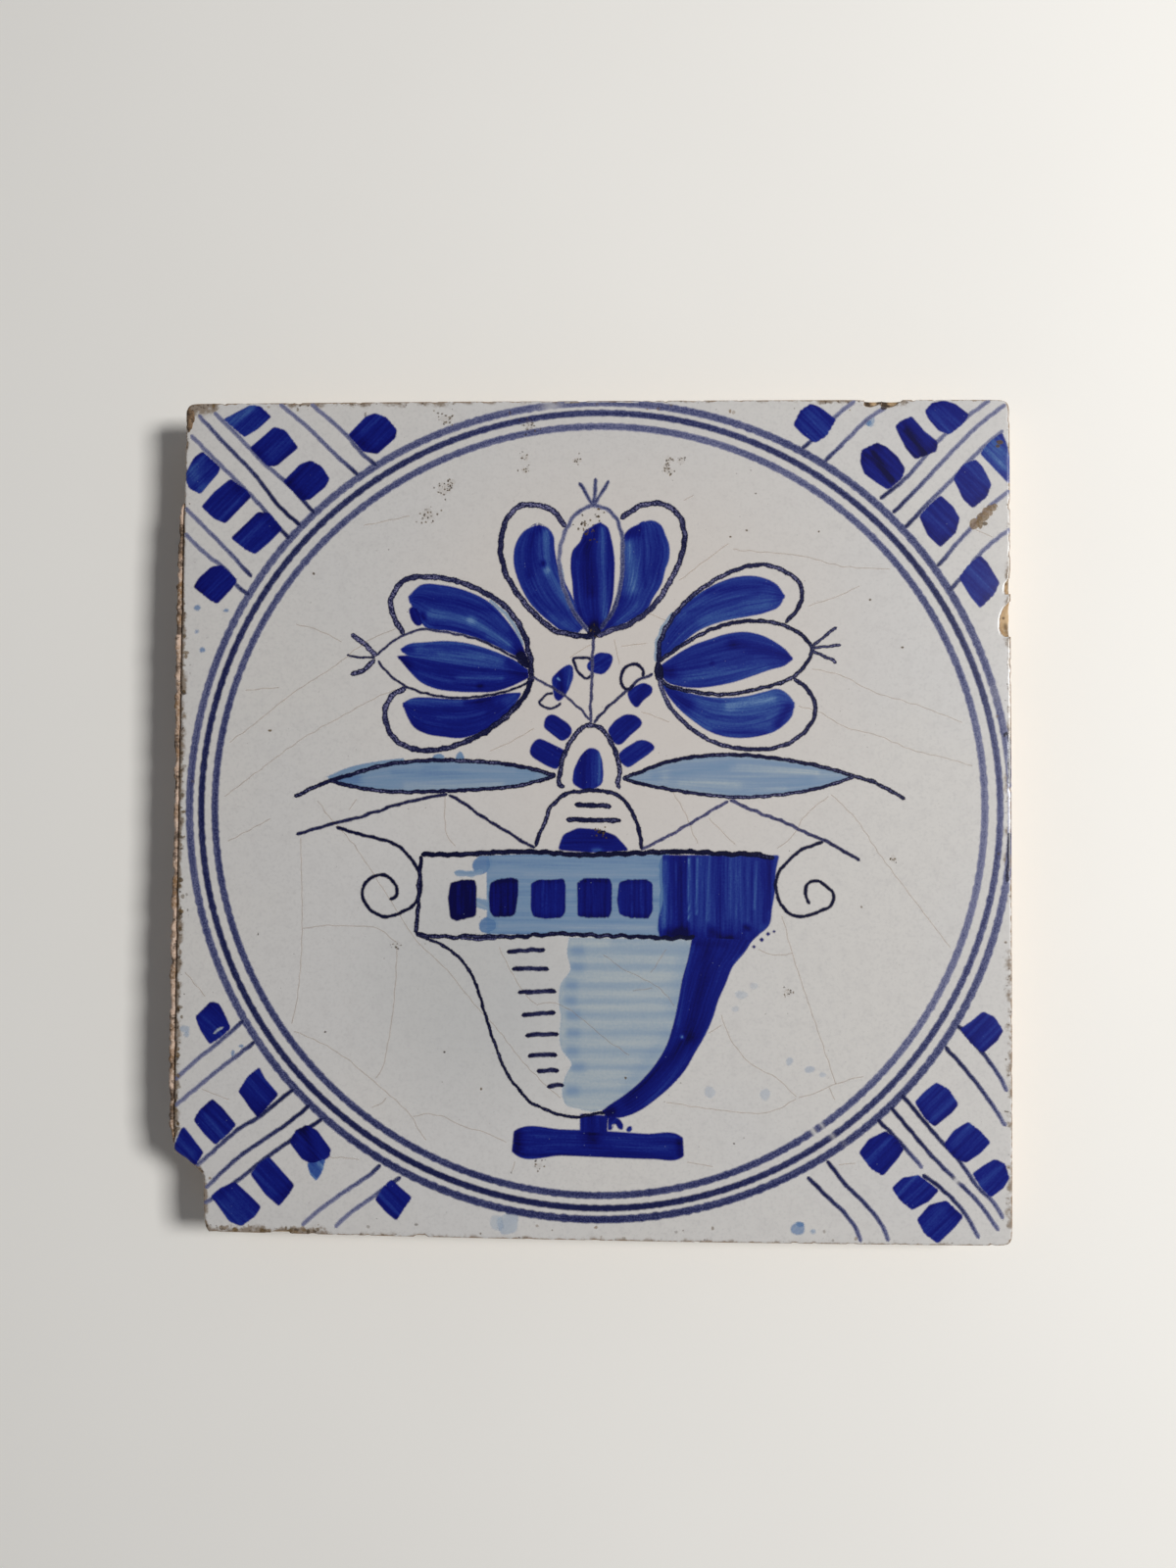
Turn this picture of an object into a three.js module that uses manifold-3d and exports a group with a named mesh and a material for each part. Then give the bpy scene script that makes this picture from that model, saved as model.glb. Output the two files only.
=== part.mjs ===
// Delft tile: a square earthenware wall tile with a white tin glaze, painted in cobalt blue with a
// vase of three tulips inside a triple ring, and with slanting lines and blocks in its corners.
// It lies on its back with the painted face up: +X is the picture's right, +Y its top and +Z leaves
// the face. Millimetres, with the origin under the middle of the whole part.
import * as THREE from "three";
import { mergeVertices } from "three/addons/utils/BufferGeometryUtils.js";
import Module from "manifold-3d";

const wasm = await Module();
wasm.setup();

// Biscuit: the fired clay slab, cut square by hand, with sides that slope in towards the back
const TILE_WIDTH = 130;
const TILE_HEIGHT = 131;
const BISCUIT_THICKNESS = 8.4;
const SIDE_TAPER = 1.5; // how far each side lies in at the back
const BACK_ARRIS = 0.5; // worn edge round the back
const CORNER_RADIUS = 1.1; // at the face
const SHARPEST_CORNER = 0.5; // at the back
const SIDE_BOWS = { right: 0.1, top: 0.15, left: 0.1, bottom: 0.35 }; // each side swells in its middle

// Tin glaze: an even coat on the face, rounded where it ends at the edge
const GLAZE_THICKNESS = 0.5;
const GLAZE_ARRIS = 0.38;
const GLAZE_LAP = 0.12; // how far the coat stands out past the biscuit

// Broken places, measured in from the sides of the tile
const BREAK_ACROSS = 4.9; // missing bottom left corner
const BREAK_UP = 13.2;
const BREAK_SLOPE = 0.9; // the broken face leans out by this much at the back
const TOP_CHIP = { fromRight: 20, length: 5.2, depth: 1.1 };
const RIGHT_CHIPS = [
  { fromTop: 29.2, length: 2.6, depth: 0.9 },
  { fromTop: 34.8, length: 5, depth: 1.7 },
];
const SPALLS = [ // small flakes that left the face inside the top right corner
  { fromRight: 5.1, fromTop: 19.4, radius: 0.8 },
  { fromRight: 3.4, fromTop: 17.2, radius: 0.7 },
];

// Mortar left from the wall: a strip on the left side and a lump on the top left corner
const MORTAR_REACH = 1.2; // from the tile's left side to the strip's crest
const MORTAR_GAP = 0.3; // clearance between the strip and the biscuit
const MORTAR_DROP = 0.35; // the crest lies this much below the glaze
const MORTAR_FOOT = 1.2; // height of its lower edge
const LUMP = { fromLeft: 0.95, fromTop: 2.9, length: 3.2, width: 0.8, height: 0.45 };

// Painting: thin deposits of cobalt that stand on the glaze
const PAINT_THICKNESS = 0.12;
const PAINT_GAP = 0.3; // bare glaze between two neighbouring deposits
const OUTLINE_WIDTH = 0.75;
const BRANCH_WIDTH = 0.62;
const STAMEN_WIDTH = 0.55;
const HATCH_WIDTH = 0.55;
const LATTICE_WIDTH = 0.8; // slanting lines in the corners
const RIM_BLOCK_CORNER = 1; // radius of the corners of the blocks in the vase's rim
const FOOT_CORNER = 1.1;
const FOOT_STEM_CORNER = 0.4;
const STROKE_STEP = 2.4; // length of one straight piece of a curved stroke
const FIELD_STEP = 2.2; // and of the edge of a filled field

// Rings
const RING_WIDTHS = { outer: 1.15, middle: 0.8, inner: 1.15 };
const RING_MARGIN = 0.25; // from the middle of the outer ring to the side that it comes nearest to
const RING_STEPS = { outerToMiddle: 1.95, middleToInner: 2.2 };
const RING_CENTRE = new THREE.Vector2(0.6, 1.3);
const RING_SEGMENTS = 72;

// Corners: seven slanting lines each, at these distances from the tile's diagonal, turned by skew
// degrees because they were drawn by hand; blocks stand on lines 0, 2, 4 and 6
const CORNERS = [
  { turn: 45, skew: -0.4, offsets: [17.4, 13.5, 3.1, 0.6, -2.3, -9.8, -13.9], blocks: [1, 3, 3, 1] },
  { turn: 135, skew: 0.6, offsets: [-14.5, -11.3, -2.6, 0.1, 2.8, 11.5, 14.1], blocks: [1, 3, 3, 1] },
  { turn: 225, skew: -6.7, offsets: [-17.1, -13.6, -4.1, -0.6, 1.9, 13.6, 16.9], blocks: [1, 3, 3, 1] },
  { turn: 315, skew: -5.4, offsets: [16, 12.5, 2.8, 0.7, -2, -12.7, -16.2], blocks: [1, 3, 3, 0] },
];
const SKEW_PIVOT = 14; // the lines turn about a point this far from the outer ring
const BLOCK_LENGTH = 5.2; // along its line
const BLOCK_DEPTH = 6; // away from its line
const BLOCK_CORNER = 1.5;
const BLOCK_STEPS = [4.8, 12.4, 18.5]; // from the ring to the middle of each block

const FACE_Z = BISCUIT_THICKNESS + GLAZE_THICKNESS;
const HALF_WIDTH = TILE_WIDTH / 2;
const HALF_HEIGHT = TILE_HEIGHT / 2;
const OUTER_RING = Math.min(
  HALF_WIDTH - Math.abs(RING_CENTRE.x),
  HALF_HEIGHT - Math.abs(RING_CENTRE.y),
) - RING_MARGIN;
const MIDDLE_RING = OUTER_RING - RING_STEPS.outerToMiddle;
const INNER_RING = MIDDLE_RING - RING_STEPS.middleToInner;
const CUT_MARGIN = 3; // cutters reach this far past what they cut

// The vase was pounced through a pricked sheet of paper, so its points are places on that sheet, from
// the middle of the rings. The sheet is fitted to the inner ring by its tallest stamen.
const STAMEN_CLEARANCE = 6.6; // from that stamen's tip to the middle of the inner ring

// Tulips: three petals each, with three stamens at the tip of the middle one
const TULIPS = {
  top: {
    outline: [
      [[-4.1, 45.3], [-6.5, 48.1], [-10.2, 48.8], [-13.3, 46.8], [-14.4, 42.5], [-13.1, 37], [-9.1, 31.8],
        [-5.2, 28.9], [0.8, 28.1]],
      [[4.3, 46.6], [7.6, 48.7], [11.7, 48.7], [14.1, 46], [14.1, 42], [12.4, 37.2], [9.2, 32.5], [5.6, 29.9],
        [0.8, 28.2]],
      [[0.2, 48.7], [-2.4, 47.6], [-4.4, 44.2], [-5, 39], [-2.8, 32], [0.2, 28.6]],
      [[0, 48.7], [2.4, 48.1], [4.4, 45], [4.7, 38.7], [3.5, 32.7], [1.2, 28.4]],
    ],
    stamenRoot: [0.2, 48.8],
    stamenTips: [[-2.2, 52.5], [0.5, 53.2], [2.7, 52.8]],
    petals: {
      left: [[-8.7, 45.8], [-10.4, 44.9], [-12.1, 42], [-12, 38.6], [-9.8, 33.5], [-6.5, 30.5], [-3.6, 29.4],
        [-2.6, 30.6], [-4.2, 33.8], [-5.6, 38], [-5.9, 42], [-6.8, 44.9]],
      middle: [[1.3, 46.1], [-1.6, 44], [-3.1, 41.6], [-3.3, 38], [-2.6, 33.8], [-0.6, 30.9], [1.2, 30.4],
        [2.6, 32.4], [3.4, 36], [3.5, 40.5], [3, 43.5]],
      right: [[9.3, 46.4], [6.6, 45.7], [4.9, 43.9], [5.4, 40], [5, 35], [3.6, 31.2], [5.2, 30.6],
        [8.7, 32.8],
        [10.9, 36.4], [12, 40.5], [11.5, 44]],
    },
  },
  left: {
    outline: [
      [[-29.6, 28.4], [-31.3, 31.3], [-31.7, 34.3], [-30.2, 36.8], [-26, 37.5], [-20.6, 36.8], [-15.6, 34.3],
        [-12, 30.9], [-10, 26.4], [-9.5, 22]],
      [[-29, 20], [-31, 18.9], [-32.4, 16], [-31.6, 12.8], [-28, 10.4], [-22, 10.7], [-16.7, 13],
        [-12.3, 16.3],
        [-9.8, 20], [-9.5, 22]],
      [[-33.8, 24.7], [-30.5, 27.8], [-26.7, 29.2], [-20, 28.2], [-14, 25.8], [-9.6, 22.3]],
      [[-33.8, 24.9], [-31, 21.4], [-26.7, 19.3], [-20.7, 18.4], [-14, 19.3], [-9.6, 21.6]],
      [[-9.5, 21.9], [-7.9, 21.3], [-6.9, 20.8]], // first stretch of the stem
    ],
    stamenRoot: [-33.8, 24.8],
    stamenTips: [[-38.1, 28.5], [-38.7, 25.2], [-38.1, 22]],
    petals: {
      upper: [[-28.6, 34.3], [-28.3, 32], [-26.5, 30.1], [-20, 29.2], [-14, 27], [-11.2, 25], [-11.4, 27.6],
        [-14.2, 31.6], [-19, 34.8], [-24, 36.2], [-27.3, 36]],
      middle: [[-30.2, 25], [-28.6, 22.7], [-25, 20.2], [-19, 19.3], [-13.6, 20.2], [-11.2, 22],
        [-14.2, 24.8],
        [-19, 26.9], [-24, 27.3], [-28.6, 26.8]],
      lower: [[-29.4, 17.6], [-28.8, 15.2], [-26, 12.8], [-21, 12.2], [-16, 14], [-12.3, 17.2], [-11.6, 18.8],
        [-15.8, 18.2], [-21, 17.5], [-26, 18.4]],
    },
  },
  right: {
    outline: [
      [[30, 30.2], [32, 32.6], [32.4, 35.8], [30.3, 38.2], [26.2, 39.3], [20.5, 37.8], [14.8, 33.6],
        [11.2, 28.6],
        [10.3, 24.3], [9.9, 22.2]],
      [[31.4, 21.7], [33.7, 20], [34.8, 17], [33.7, 14], [30.8, 11.6], [26, 10.6], [20.5, 11.2], [15.7, 13.7],
        [12.2, 17.4], [9.9, 22.2]],
      [[34.2, 26.7], [32.2, 29], [28, 30.4], [22.5, 30.4], [16.8, 28.4], [10.2, 23.6]],
      [[34.2, 26.9], [33.9, 24.6], [30.9, 21.6], [25, 19.8], [18, 19.2], [12.6, 20.2], [10, 22.4]],
    ],
    stamenRoot: [34.2, 26.6],
    stamenTips: [[38.2, 29.7], [38.9, 26.9], [38.2, 24]],
    petals: {
      upper: [[11.4, 26.3], [14, 27.9], [18, 29.9], [23, 31.6], [27.6, 32.2], [29.8, 34.2],
        [28.6, 36.4], [24, 37.5],
        [19.2, 35.9], [14.7, 32.4], [12, 28.8]],
      middle: [[11.4, 22.9], [14, 20.9], [18.4, 20.4], [23.5, 21.4], [28.2, 23.1], [31.1, 24.8], [28.3, 27.5],
        [23.9, 28.9], [18.6, 27.8], [13.8, 25.5]],
      lower: [[12.1, 19.1], [14, 16.6], [17.4, 13.9], [21.5, 12.5], [26.4, 12.6], [30.2, 14.6], [31.5, 17.3],
        [29.6, 19.5], [24.6, 18.5], [17.8, 18], [14, 18.6]],
    },
  },
};

const stamenReach = Math.max(...TULIPS.top.stamenTips.map((tip) => Math.hypot(...tip)));
const SHEET_SCALE = (INNER_RING - STAMEN_CLEARANCE) / stamenReach;

const materials = {
  biscuit: { color: 0xc79a63, roughness: 0.95 },
  glaze: { color: 0xd3d0cb, roughness: 0.18 },
  mortar: { color: 0xb7a08f, roughness: 1 },
  grime: { color: 0x6d5138, roughness: 1 },
  outline: { color: 0x23234f, roughness: 0.25 },
  ring: { color: 0x55557f, roughness: 0.25 },
  cobalt: { color: 0x14148c, roughness: 0.22 },
  wash: { color: 0x7d9cc4, roughness: 0.2 },
};

const tile = new THREE.Group();
tile.name = "delft_tile";

function addPiece(name, material, solid) {
  const mesh = solid.getMesh();
  const geometry = new THREE.BufferGeometry();
  geometry.setAttribute("position", new THREE.BufferAttribute(mesh.vertProperties, 3));
  geometry.setIndex(new THREE.BufferAttribute(mesh.triVerts, 1));
  const piece = new THREE.Mesh(geometry, new THREE.MeshStandardMaterial({ ...material, metalness: 0 }));
  piece.name = name;
  tile.add(piece);
}

// Solids from outlines: an outline is a list of Vector2, anticlockwise

function solidFrom(geometry) {
  geometry.deleteAttribute("normal");
  geometry.deleteAttribute("uv");
  const merged = mergeVertices(geometry, 1e-4);
  return new wasm.Manifold(new wasm.Mesh({
    numProp: 3,
    vertProperties: Float32Array.from(merged.attributes.position.array),
    triVerts: Uint32Array.from(merged.index.array),
  }));
}

const upwards = (point, z) => [point.x, point.y, z];

// A closed solid through a row of outlines with equally many points, each placed at its own station
function loft(sections, place = upwards) {
  const count = sections[0].outline.length;
  const positions = sections.flatMap(({ outline, at }) => outline.flatMap((point) => place(point, at)));
  const index = [];
  for (let start = 0; start < (sections.length - 1) * count; start += count) {
    for (let i = 0; i < count; i++) {
      const a = start + i;
      const b = start + ((i + 1) % count);
      index.push(a, b, b + count, a, b + count, a + count);
    }
  }
  const top = (sections.length - 1) * count;
  for (const [a, b, c] of THREE.ShapeUtils.triangulateShape(sections[0].outline, [])) {
    index.push(c, b, a);
  }
  for (const [a, b, c] of THREE.ShapeUtils.triangulateShape(sections.at(-1).outline, [])) {
    index.push(top + a, top + b, top + c);
  }
  const geometry = new THREE.BufferGeometry();
  geometry.setAttribute("position", new THREE.Float32BufferAttribute(positions, 3));
  geometry.setIndex(index);
  return solidFrom(geometry);
}

const united = (solids) => solids.reduce((all, solid) => all.add(solid));
const without = (solid, cutters) => cutters.reduce((rest, cutter) => rest.subtract(cutter), solid);

function ellipse(centre, radiusX, radiusY, count) {
  return Array.from({ length: count }, (_, i) => {
    const angle = (2 * Math.PI * i) / count;
    return new THREE.Vector2(centre.x + radiusX * Math.cos(angle), centre.y + radiusY * Math.sin(angle));
  });
}

// Slab

// The tile seen from its face, drawn in by inset: four bowed sides joined by rounded corners
function tileOutline(inset) {
  const sides = [
    { half: HALF_HEIGHT, reach: HALF_WIDTH, bow: SIDE_BOWS.right },
    { half: HALF_WIDTH, reach: HALF_HEIGHT, bow: SIDE_BOWS.top },
    { half: HALF_HEIGHT, reach: HALF_WIDTH, bow: SIDE_BOWS.left },
    { half: HALF_WIDTH, reach: HALF_HEIGHT, bow: SIDE_BOWS.bottom },
  ];
  const middle = new THREE.Vector2();
  return sides.flatMap(({ half, reach, bow }, side) => {
    const radius = Math.max(CORNER_RADIUS - inset, SHARPEST_CORNER);
    const straight = half - inset - radius;
    const points = [-1, -0.5, 0, 0.5, 1].map(
      (t) => new THREE.Vector2(reach - inset - bow * t * t, straight * t),
    );
    for (const angle of [Math.PI / 6, Math.PI / 3]) {
      const x = reach - inset - bow - radius * (1 - Math.cos(angle));
      points.push(new THREE.Vector2(x, straight + (radius - bow) * Math.sin(angle)));
    }
    return points.map((point) => point.rotateAround(middle, (side * Math.PI) / 2));
  });
}

// What broke off the bottom left corner, with broken faces that lean out towards the back
function brokenCorner() {
  const left = -HALF_WIDTH;
  const bottom = -HALF_HEIGHT;
  const outline = (lean) => [
    new THREE.Vector2(left - CUT_MARGIN, bottom - CUT_MARGIN),
    new THREE.Vector2(left + BREAK_ACROSS - lean, bottom - CUT_MARGIN),
    new THREE.Vector2(left + BREAK_ACROSS - lean, bottom + 0.66 * BREAK_UP),
    new THREE.Vector2(left + 0.72 * BREAK_ACROSS - lean, bottom + 0.78 * BREAK_UP),
    new THREE.Vector2(left, bottom + BREAK_UP - lean),
    new THREE.Vector2(left - CUT_MARGIN, bottom + BREAK_UP - lean),
  ];
  return loft([
    { outline: outline(BREAK_SLOPE), at: -CUT_MARGIN },
    { outline: outline(0), at: FACE_Z + CUT_MARGIN },
  ]);
}

// A flake off the right side at y = 0: deepest in its middle, running out at both ends
function edgeChip({ length, depth }) {
  const outline = (shrink) => {
    const bite = ellipse(new THREE.Vector2(), depth * shrink, (length / 2) * shrink, 12);
    return bite.map((point) => (point.x > 0 ? new THREE.Vector2(CUT_MARGIN, point.y) : point));
  };
  return loft([
    { outline: outline(0.4), at: BISCUIT_THICKNESS - depth },
    { outline: outline(1), at: FACE_Z },
    { outline: outline(1.05), at: FACE_Z + CUT_MARGIN },
  ]);
}

function spall({ fromRight, fromTop, radius }) {
  const centre = new THREE.Vector2(HALF_WIDTH - fromRight, HALF_HEIGHT - fromTop);
  return loft([
    { outline: ellipse(centre, 0.7 * radius, 0.8 * radius, 9), at: BISCUIT_THICKNESS - CUT_MARGIN },
    { outline: ellipse(centre, 0.7 * radius, 0.8 * radius, 9), at: BISCUIT_THICKNESS },
    { outline: ellipse(centre, radius, 1.2 * radius, 9), at: FACE_Z + GLAZE_THICKNESS },
  ]);
}

const broken = [
  brokenCorner(),
  ...RIGHT_CHIPS.map((chip) => edgeChip(chip).translate([HALF_WIDTH, HALF_HEIGHT - chip.fromTop, 0])),
  edgeChip(TOP_CHIP).rotate([0, 0, 90]).translate([HALF_WIDTH - TOP_CHIP.fromRight, HALF_HEIGHT, 0]),
];

const slab = loft([
  { outline: tileOutline(SIDE_TAPER + BACK_ARRIS), at: 0 },
  { outline: tileOutline(SIDE_TAPER), at: BACK_ARRIS },
  { outline: tileOutline(GLAZE_LAP), at: BISCUIT_THICKNESS },
]);
addPiece("biscuit_body", materials.biscuit, without(slab, broken));

const arris = [0, Math.PI / 6, Math.PI / 3, Math.PI / 2].map((angle) => ({
  outline: tileOutline(GLAZE_ARRIS * (1 - Math.cos(angle))),
  at: FACE_Z - GLAZE_ARRIS * (1 - Math.sin(angle)),
}));
const coat = loft([{ outline: tileOutline(0), at: BISCUIT_THICKNESS }, ...arris]);
addPiece("tin_glaze", materials.glaze, without(coat, [...broken, ...SPALLS.map(spall)]));

// The flat of the face that the brush can reach, as a block for trimming the painting
const flatFace = loft([
  { outline: tileOutline(GLAZE_ARRIS), at: FACE_Z - CUT_MARGIN },
  { outline: tileOutline(GLAZE_ARRIS), at: FACE_Z + CUT_MARGIN },
]);

// Mortar

// Distance up from the broken corner, with the share of the strip's full reach there
const MORTAR_STATIONS = [
  [1.5, 0.5], [14, 0.9], [30, 0.75], [47, 1], [62, 0.6], [78, 0.8], [92, 0.45], [99, 0.2],
];

function mortarStrip() {
  const crest = FACE_Z - MORTAR_DROP;
  const sideAt = (z) => HALF_WIDTH - SIDE_TAPER * (1 - z / BISCUIT_THICKNESS) + MORTAR_GAP;
  const strip = MORTAR_STATIONS.map(([up, share]) => {
    const reach = sideAt(crest) + (HALF_WIDTH + MORTAR_REACH - sideAt(crest)) * share;
    return {
      outline: [
        new THREE.Vector2(sideAt(MORTAR_FOOT), MORTAR_FOOT),
        new THREE.Vector2(sideAt(MORTAR_FOOT) + 0.3 * share, MORTAR_FOOT),
        new THREE.Vector2(reach, 0.55 * crest),
        new THREE.Vector2(reach - 0.1 * share, crest - 0.5),
        new THREE.Vector2(sideAt(crest), crest),
      ],
      at: BREAK_UP - HALF_HEIGHT + up,
    };
  });
  return loft(strip, (point, y) => [-point.x, y, point.y]);
}

const lumpCentre = new THREE.Vector2(LUMP.fromLeft - HALF_WIDTH, HALF_HEIGHT - LUMP.fromTop);
const mortarLump = loft([[0, 1], [0.6, 0.85], [1, 0.45]].map(([rise, spread]) => (
  {
    outline: ellipse(lumpCentre, 0.5 * LUMP.width * spread, 0.5 * LUMP.length * spread, 10),
    at: FACE_Z + LUMP.height * rise,
  }
)));

addPiece("mortar_left_side", materials.mortar, mortarStrip());
addPiece("mortar_top_left_corner", materials.grime, mortarLump);

// Brush work: a deposit is a function of how far it is grown, so that the same strokes make both the
// paint itself and the cutter that keeps later deposits clear of it

function painted(outline, grow) {
  const rise = grow > 0 ? CUT_MARGIN : 0;
  return loft([
    { outline, at: FACE_Z - rise },
    { outline, at: FACE_Z + PAINT_THICKNESS + rise },
  ]);
}

function sheetCurve(points, closed) {
  const placed = points.map(([x, y]) => new THREE.Vector3(x * SHEET_SCALE, y * SHEET_SCALE, 0));
  return new THREE.CatmullRomCurve3(placed, closed, "centripetal");
}

// Drawn with a loaded brush: thin where it is set down and lifted, full in between
const pressure = (t) => Math.min(1, 0.6 + 5 * Math.min(t, 1 - t));

function stroke(points, width) {
  const curve = sheetCurve(points, false);
  const steps = points.length === 2 ? 1 : Math.ceil(curve.getLength() / STROKE_STEP);
  return (grow) => {
    const right = [];
    const left = [];
    for (let i = 0; i <= steps; i++) {
      const along = curve.getTangentAt(i / steps);
      const overrun = i === 0 ? -grow : i === steps ? grow : 0;
      const middle = curve.getPointAt(i / steps).addScaledVector(along, overrun);
      const half = 0.5 * width * pressure(i / steps) + grow;
      right.push(new THREE.Vector2(middle.x + along.y * half, middle.y - along.x * half));
      left.unshift(new THREE.Vector2(middle.x - along.y * half, middle.y + along.x * half));
    }
    return painted([...right, ...left], grow);
  };
}

// A field filled with the broad brush, inside the curve through its points, given anticlockwise
function field(points) {
  const curve = sheetCurve(points, true);
  const steps = Math.ceil(curve.getLength() / FIELD_STEP);
  return (grow) => {
    const outline = Array.from({ length: steps }, (_, i) => {
      const along = curve.getTangentAt(i / steps);
      const edge = curve.getPointAt(i / steps);
      return new THREE.Vector2(edge.x + along.y * grow, edge.y - along.x * grow);
    });
    return painted(outline, grow);
  };
}

// A short dab of the brush: a rectangle with rounded corners, turned by angle
function dab(centre, length, depth, corner, angle) {
  return (grow) => {
    const x = length / 2 - corner;
    const y = depth / 2 - corner;
    const reach = corner + grow;
    const outline = [[x, y], [-x, y], [-x, -y], [x, -y]].flatMap(([cornerX, cornerY], quarter) => (
      [0.05, 0.45].map((part) => {
        const turn = quarter * (Math.PI / 2) + part * Math.PI;
        return new THREE.Vector2(cornerX + reach * Math.cos(turn), cornerY + reach * Math.sin(turn))
          .rotateAround(new THREE.Vector2(), angle).add(centre);
      })
    ));
    return painted(outline, grow);
  };
}

// A straight line of even width from start to end
function bar(start, end, width) {
  const along = end.clone().sub(start).normalize();
  return (grow) => {
    const side = new THREE.Vector2(-along.y, along.x).multiplyScalar(width / 2 + grow);
    const first = start.clone().addScaledVector(along, -grow);
    const last = end.clone().addScaledVector(along, grow);
    return painted([first.clone().sub(side), last.clone().sub(side), last.add(side), first.add(side)], grow);
  };
}

const together = (deposits) => (grow) => united(deposits.map((deposit) => deposit(grow)));

function boxesMeet(a, b) {
  return [0, 1].every((axis) => a.min[axis] < b.max[axis] && b.min[axis] < a.max[axis]);
}

const laid = [];

// Paint laid later stops short of what was laid before
function lay(name, material, deposit) {
  const solid = deposit(0);
  const near = laid.filter((earlier) => boxesMeet(earlier.boundingBox(), solid.boundingBox()));
  addPiece(name, material, without(solid, near));
  laid.push(deposit(PAINT_GAP));
}

// Rings and corners

// The top left corner of the face, as far as the lump and the bare glaze round it reach
function cornerUnderLump() {
  const right = lumpCentre.x + LUMP.width / 2 + PAINT_GAP;
  const bottom = lumpCentre.y - LUMP.length / 2 - PAINT_GAP;
  const left = -HALF_WIDTH - CUT_MARGIN;
  const top = HALF_HEIGHT + CUT_MARGIN;
  return painted([
    new THREE.Vector2(left, bottom),
    new THREE.Vector2(right, bottom),
    new THREE.Vector2(right, top),
    new THREE.Vector2(left, top),
  ], PAINT_GAP);
}

function ring(radius, width) {
  return (grow) => {
    const rise = grow > 0 ? CUT_MARGIN : 0;
    const disc = (r, margin) => loft([
      { outline: ellipse(RING_CENTRE, r, r, RING_SEGMENTS), at: FACE_Z - rise - margin },
      { outline: ellipse(RING_CENTRE, r, r, RING_SEGMENTS), at: FACE_Z + PAINT_THICKNESS + rise + margin },
    ]);
    return disc(radius + width / 2 + grow, 0).subtract(disc(radius - width / 2 - grow, CUT_MARGIN));
  };
}

// One corner's slanting lines, from the outer ring to beyond the face, and the blocks beside them
function cornerDeposits({ turn, skew, offsets, blocks }) {
  const diagonal = new THREE.Vector2(1, 0).rotateAround(new THREE.Vector2(), THREE.MathUtils.degToRad(turn));
  const sideways = new THREE.Vector2(-diagonal.y, diagonal.x);
  const angle = THREE.MathUtils.degToRad(turn + skew);
  const direction = new THREE.Vector2(Math.cos(angle), Math.sin(angle));
  return offsets.flatMap((offset, line) => {
    const pivot = diagonal.clone().multiplyScalar(OUTER_RING + SKEW_PIVOT).addScaledVector(sideways, offset);
    const fromCentre = pivot.clone().sub(RING_CENTRE);
    const toRing = Math.sqrt(OUTER_RING ** 2 - fromCentre.cross(direction) ** 2) - fromCentre.dot(direction);
    const start = pivot.clone().addScaledVector(direction, toRing);
    const beyondFace = start.clone().addScaledVector(direction, HALF_WIDTH);
    const blockCount = line % 2 === 0 ? blocks[line / 2] : 0;
    const blockSide = Math.sign(offset) * (BLOCK_DEPTH / 2);
    const dabs = BLOCK_STEPS.slice(0, blockCount).map((step) => {
      const centre = start.clone().addScaledVector(direction, step).addScaledVector(sideways, blockSide);
      return dab(centre, BLOCK_LENGTH, BLOCK_DEPTH, BLOCK_CORNER, angle);
    });
    return [bar(start, beyondFace, LATTICE_WIDTH), ...dabs];
  });
}

const ringAndCorners = together([ring(OUTER_RING, RING_WIDTHS.outer), ...CORNERS.flatMap(cornerDeposits)]);
const paintable = flatFace.subtract(cornerUnderLump());
addPiece("outer_ring_and_corners", materials.ring, without(ringAndCorners(0).intersect(paintable), broken));
lay("middle_ring", materials.ring, ring(MIDDLE_RING, RING_WIDTHS.middle));
lay("inner_ring", materials.ring, ring(INNER_RING, RING_WIDTHS.inner));

// Vase: rim box and bowl drawn with the outline brush

lay("vase_outline", materials.outline, together([
  stroke([
    [-26.4, -6.1], [-17.5, -5.9], [-8, -5.6], [1.2, -6], [10.6, -5.5], [20, -5.7], [28.3, -6.1],
  ], OUTLINE_WIDTH),
  stroke([[-26.3, -5.9], [-26.7, -10], [-26.8, -14.5], [-27.3, -18.9]], OUTLINE_WIDTH),
  stroke([[-27.4, -18.5], [-20, -18.9], [-11, -18.7], [-2, -18.3], [8, -18.7], [16.2, -18.5]], OUTLINE_WIDTH),
  stroke([
    [-27.3, -18.5], [-22.9, -20.3], [-19.1, -23.6], [-17, -28.2], [-15.2, -33.9], [-12.9, -39.6],
    [-8.6, -44.6], [-4.3, -46.2], [0.4, -46.3],
  ], BRANCH_WIDTH),
]));
lay("dome_outline", materials.outline, stroke([
  [-8.5, -4.8], [-7.9, -2.6], [-6.6, 0.8], [-4.2, 3.3], [0.3, 4.2], [3.7, 3.6], [6, 1.4], [7.4, -2],
    [8, -4.8],
], OUTLINE_WIDTH));
lay("bud_outline", materials.outline, stroke([
  [-4.4, 5], [-4.8, 7], [-4.1, 9.6], [-2.9, 12], [-0.9, 13.8], [1.3, 13.5], [3.3, 11.2], [4.4, 7.8], [4.4, 5],
], OUTLINE_WIDTH));

// Tulips: each petal is outlined first
for (const [place, { outline, stamenRoot, stamenTips }] of Object.entries(TULIPS)) {
  const petalEdges = outline.map((points) => stroke(points, OUTLINE_WIDTH));
  const stamens = stamenTips.map((tip) => stroke([stamenRoot, tip], STAMEN_WIDTH));
  lay(`${place}_tulip_outline`, materials.outline, together([...petalEdges, ...stamens]));
}

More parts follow.
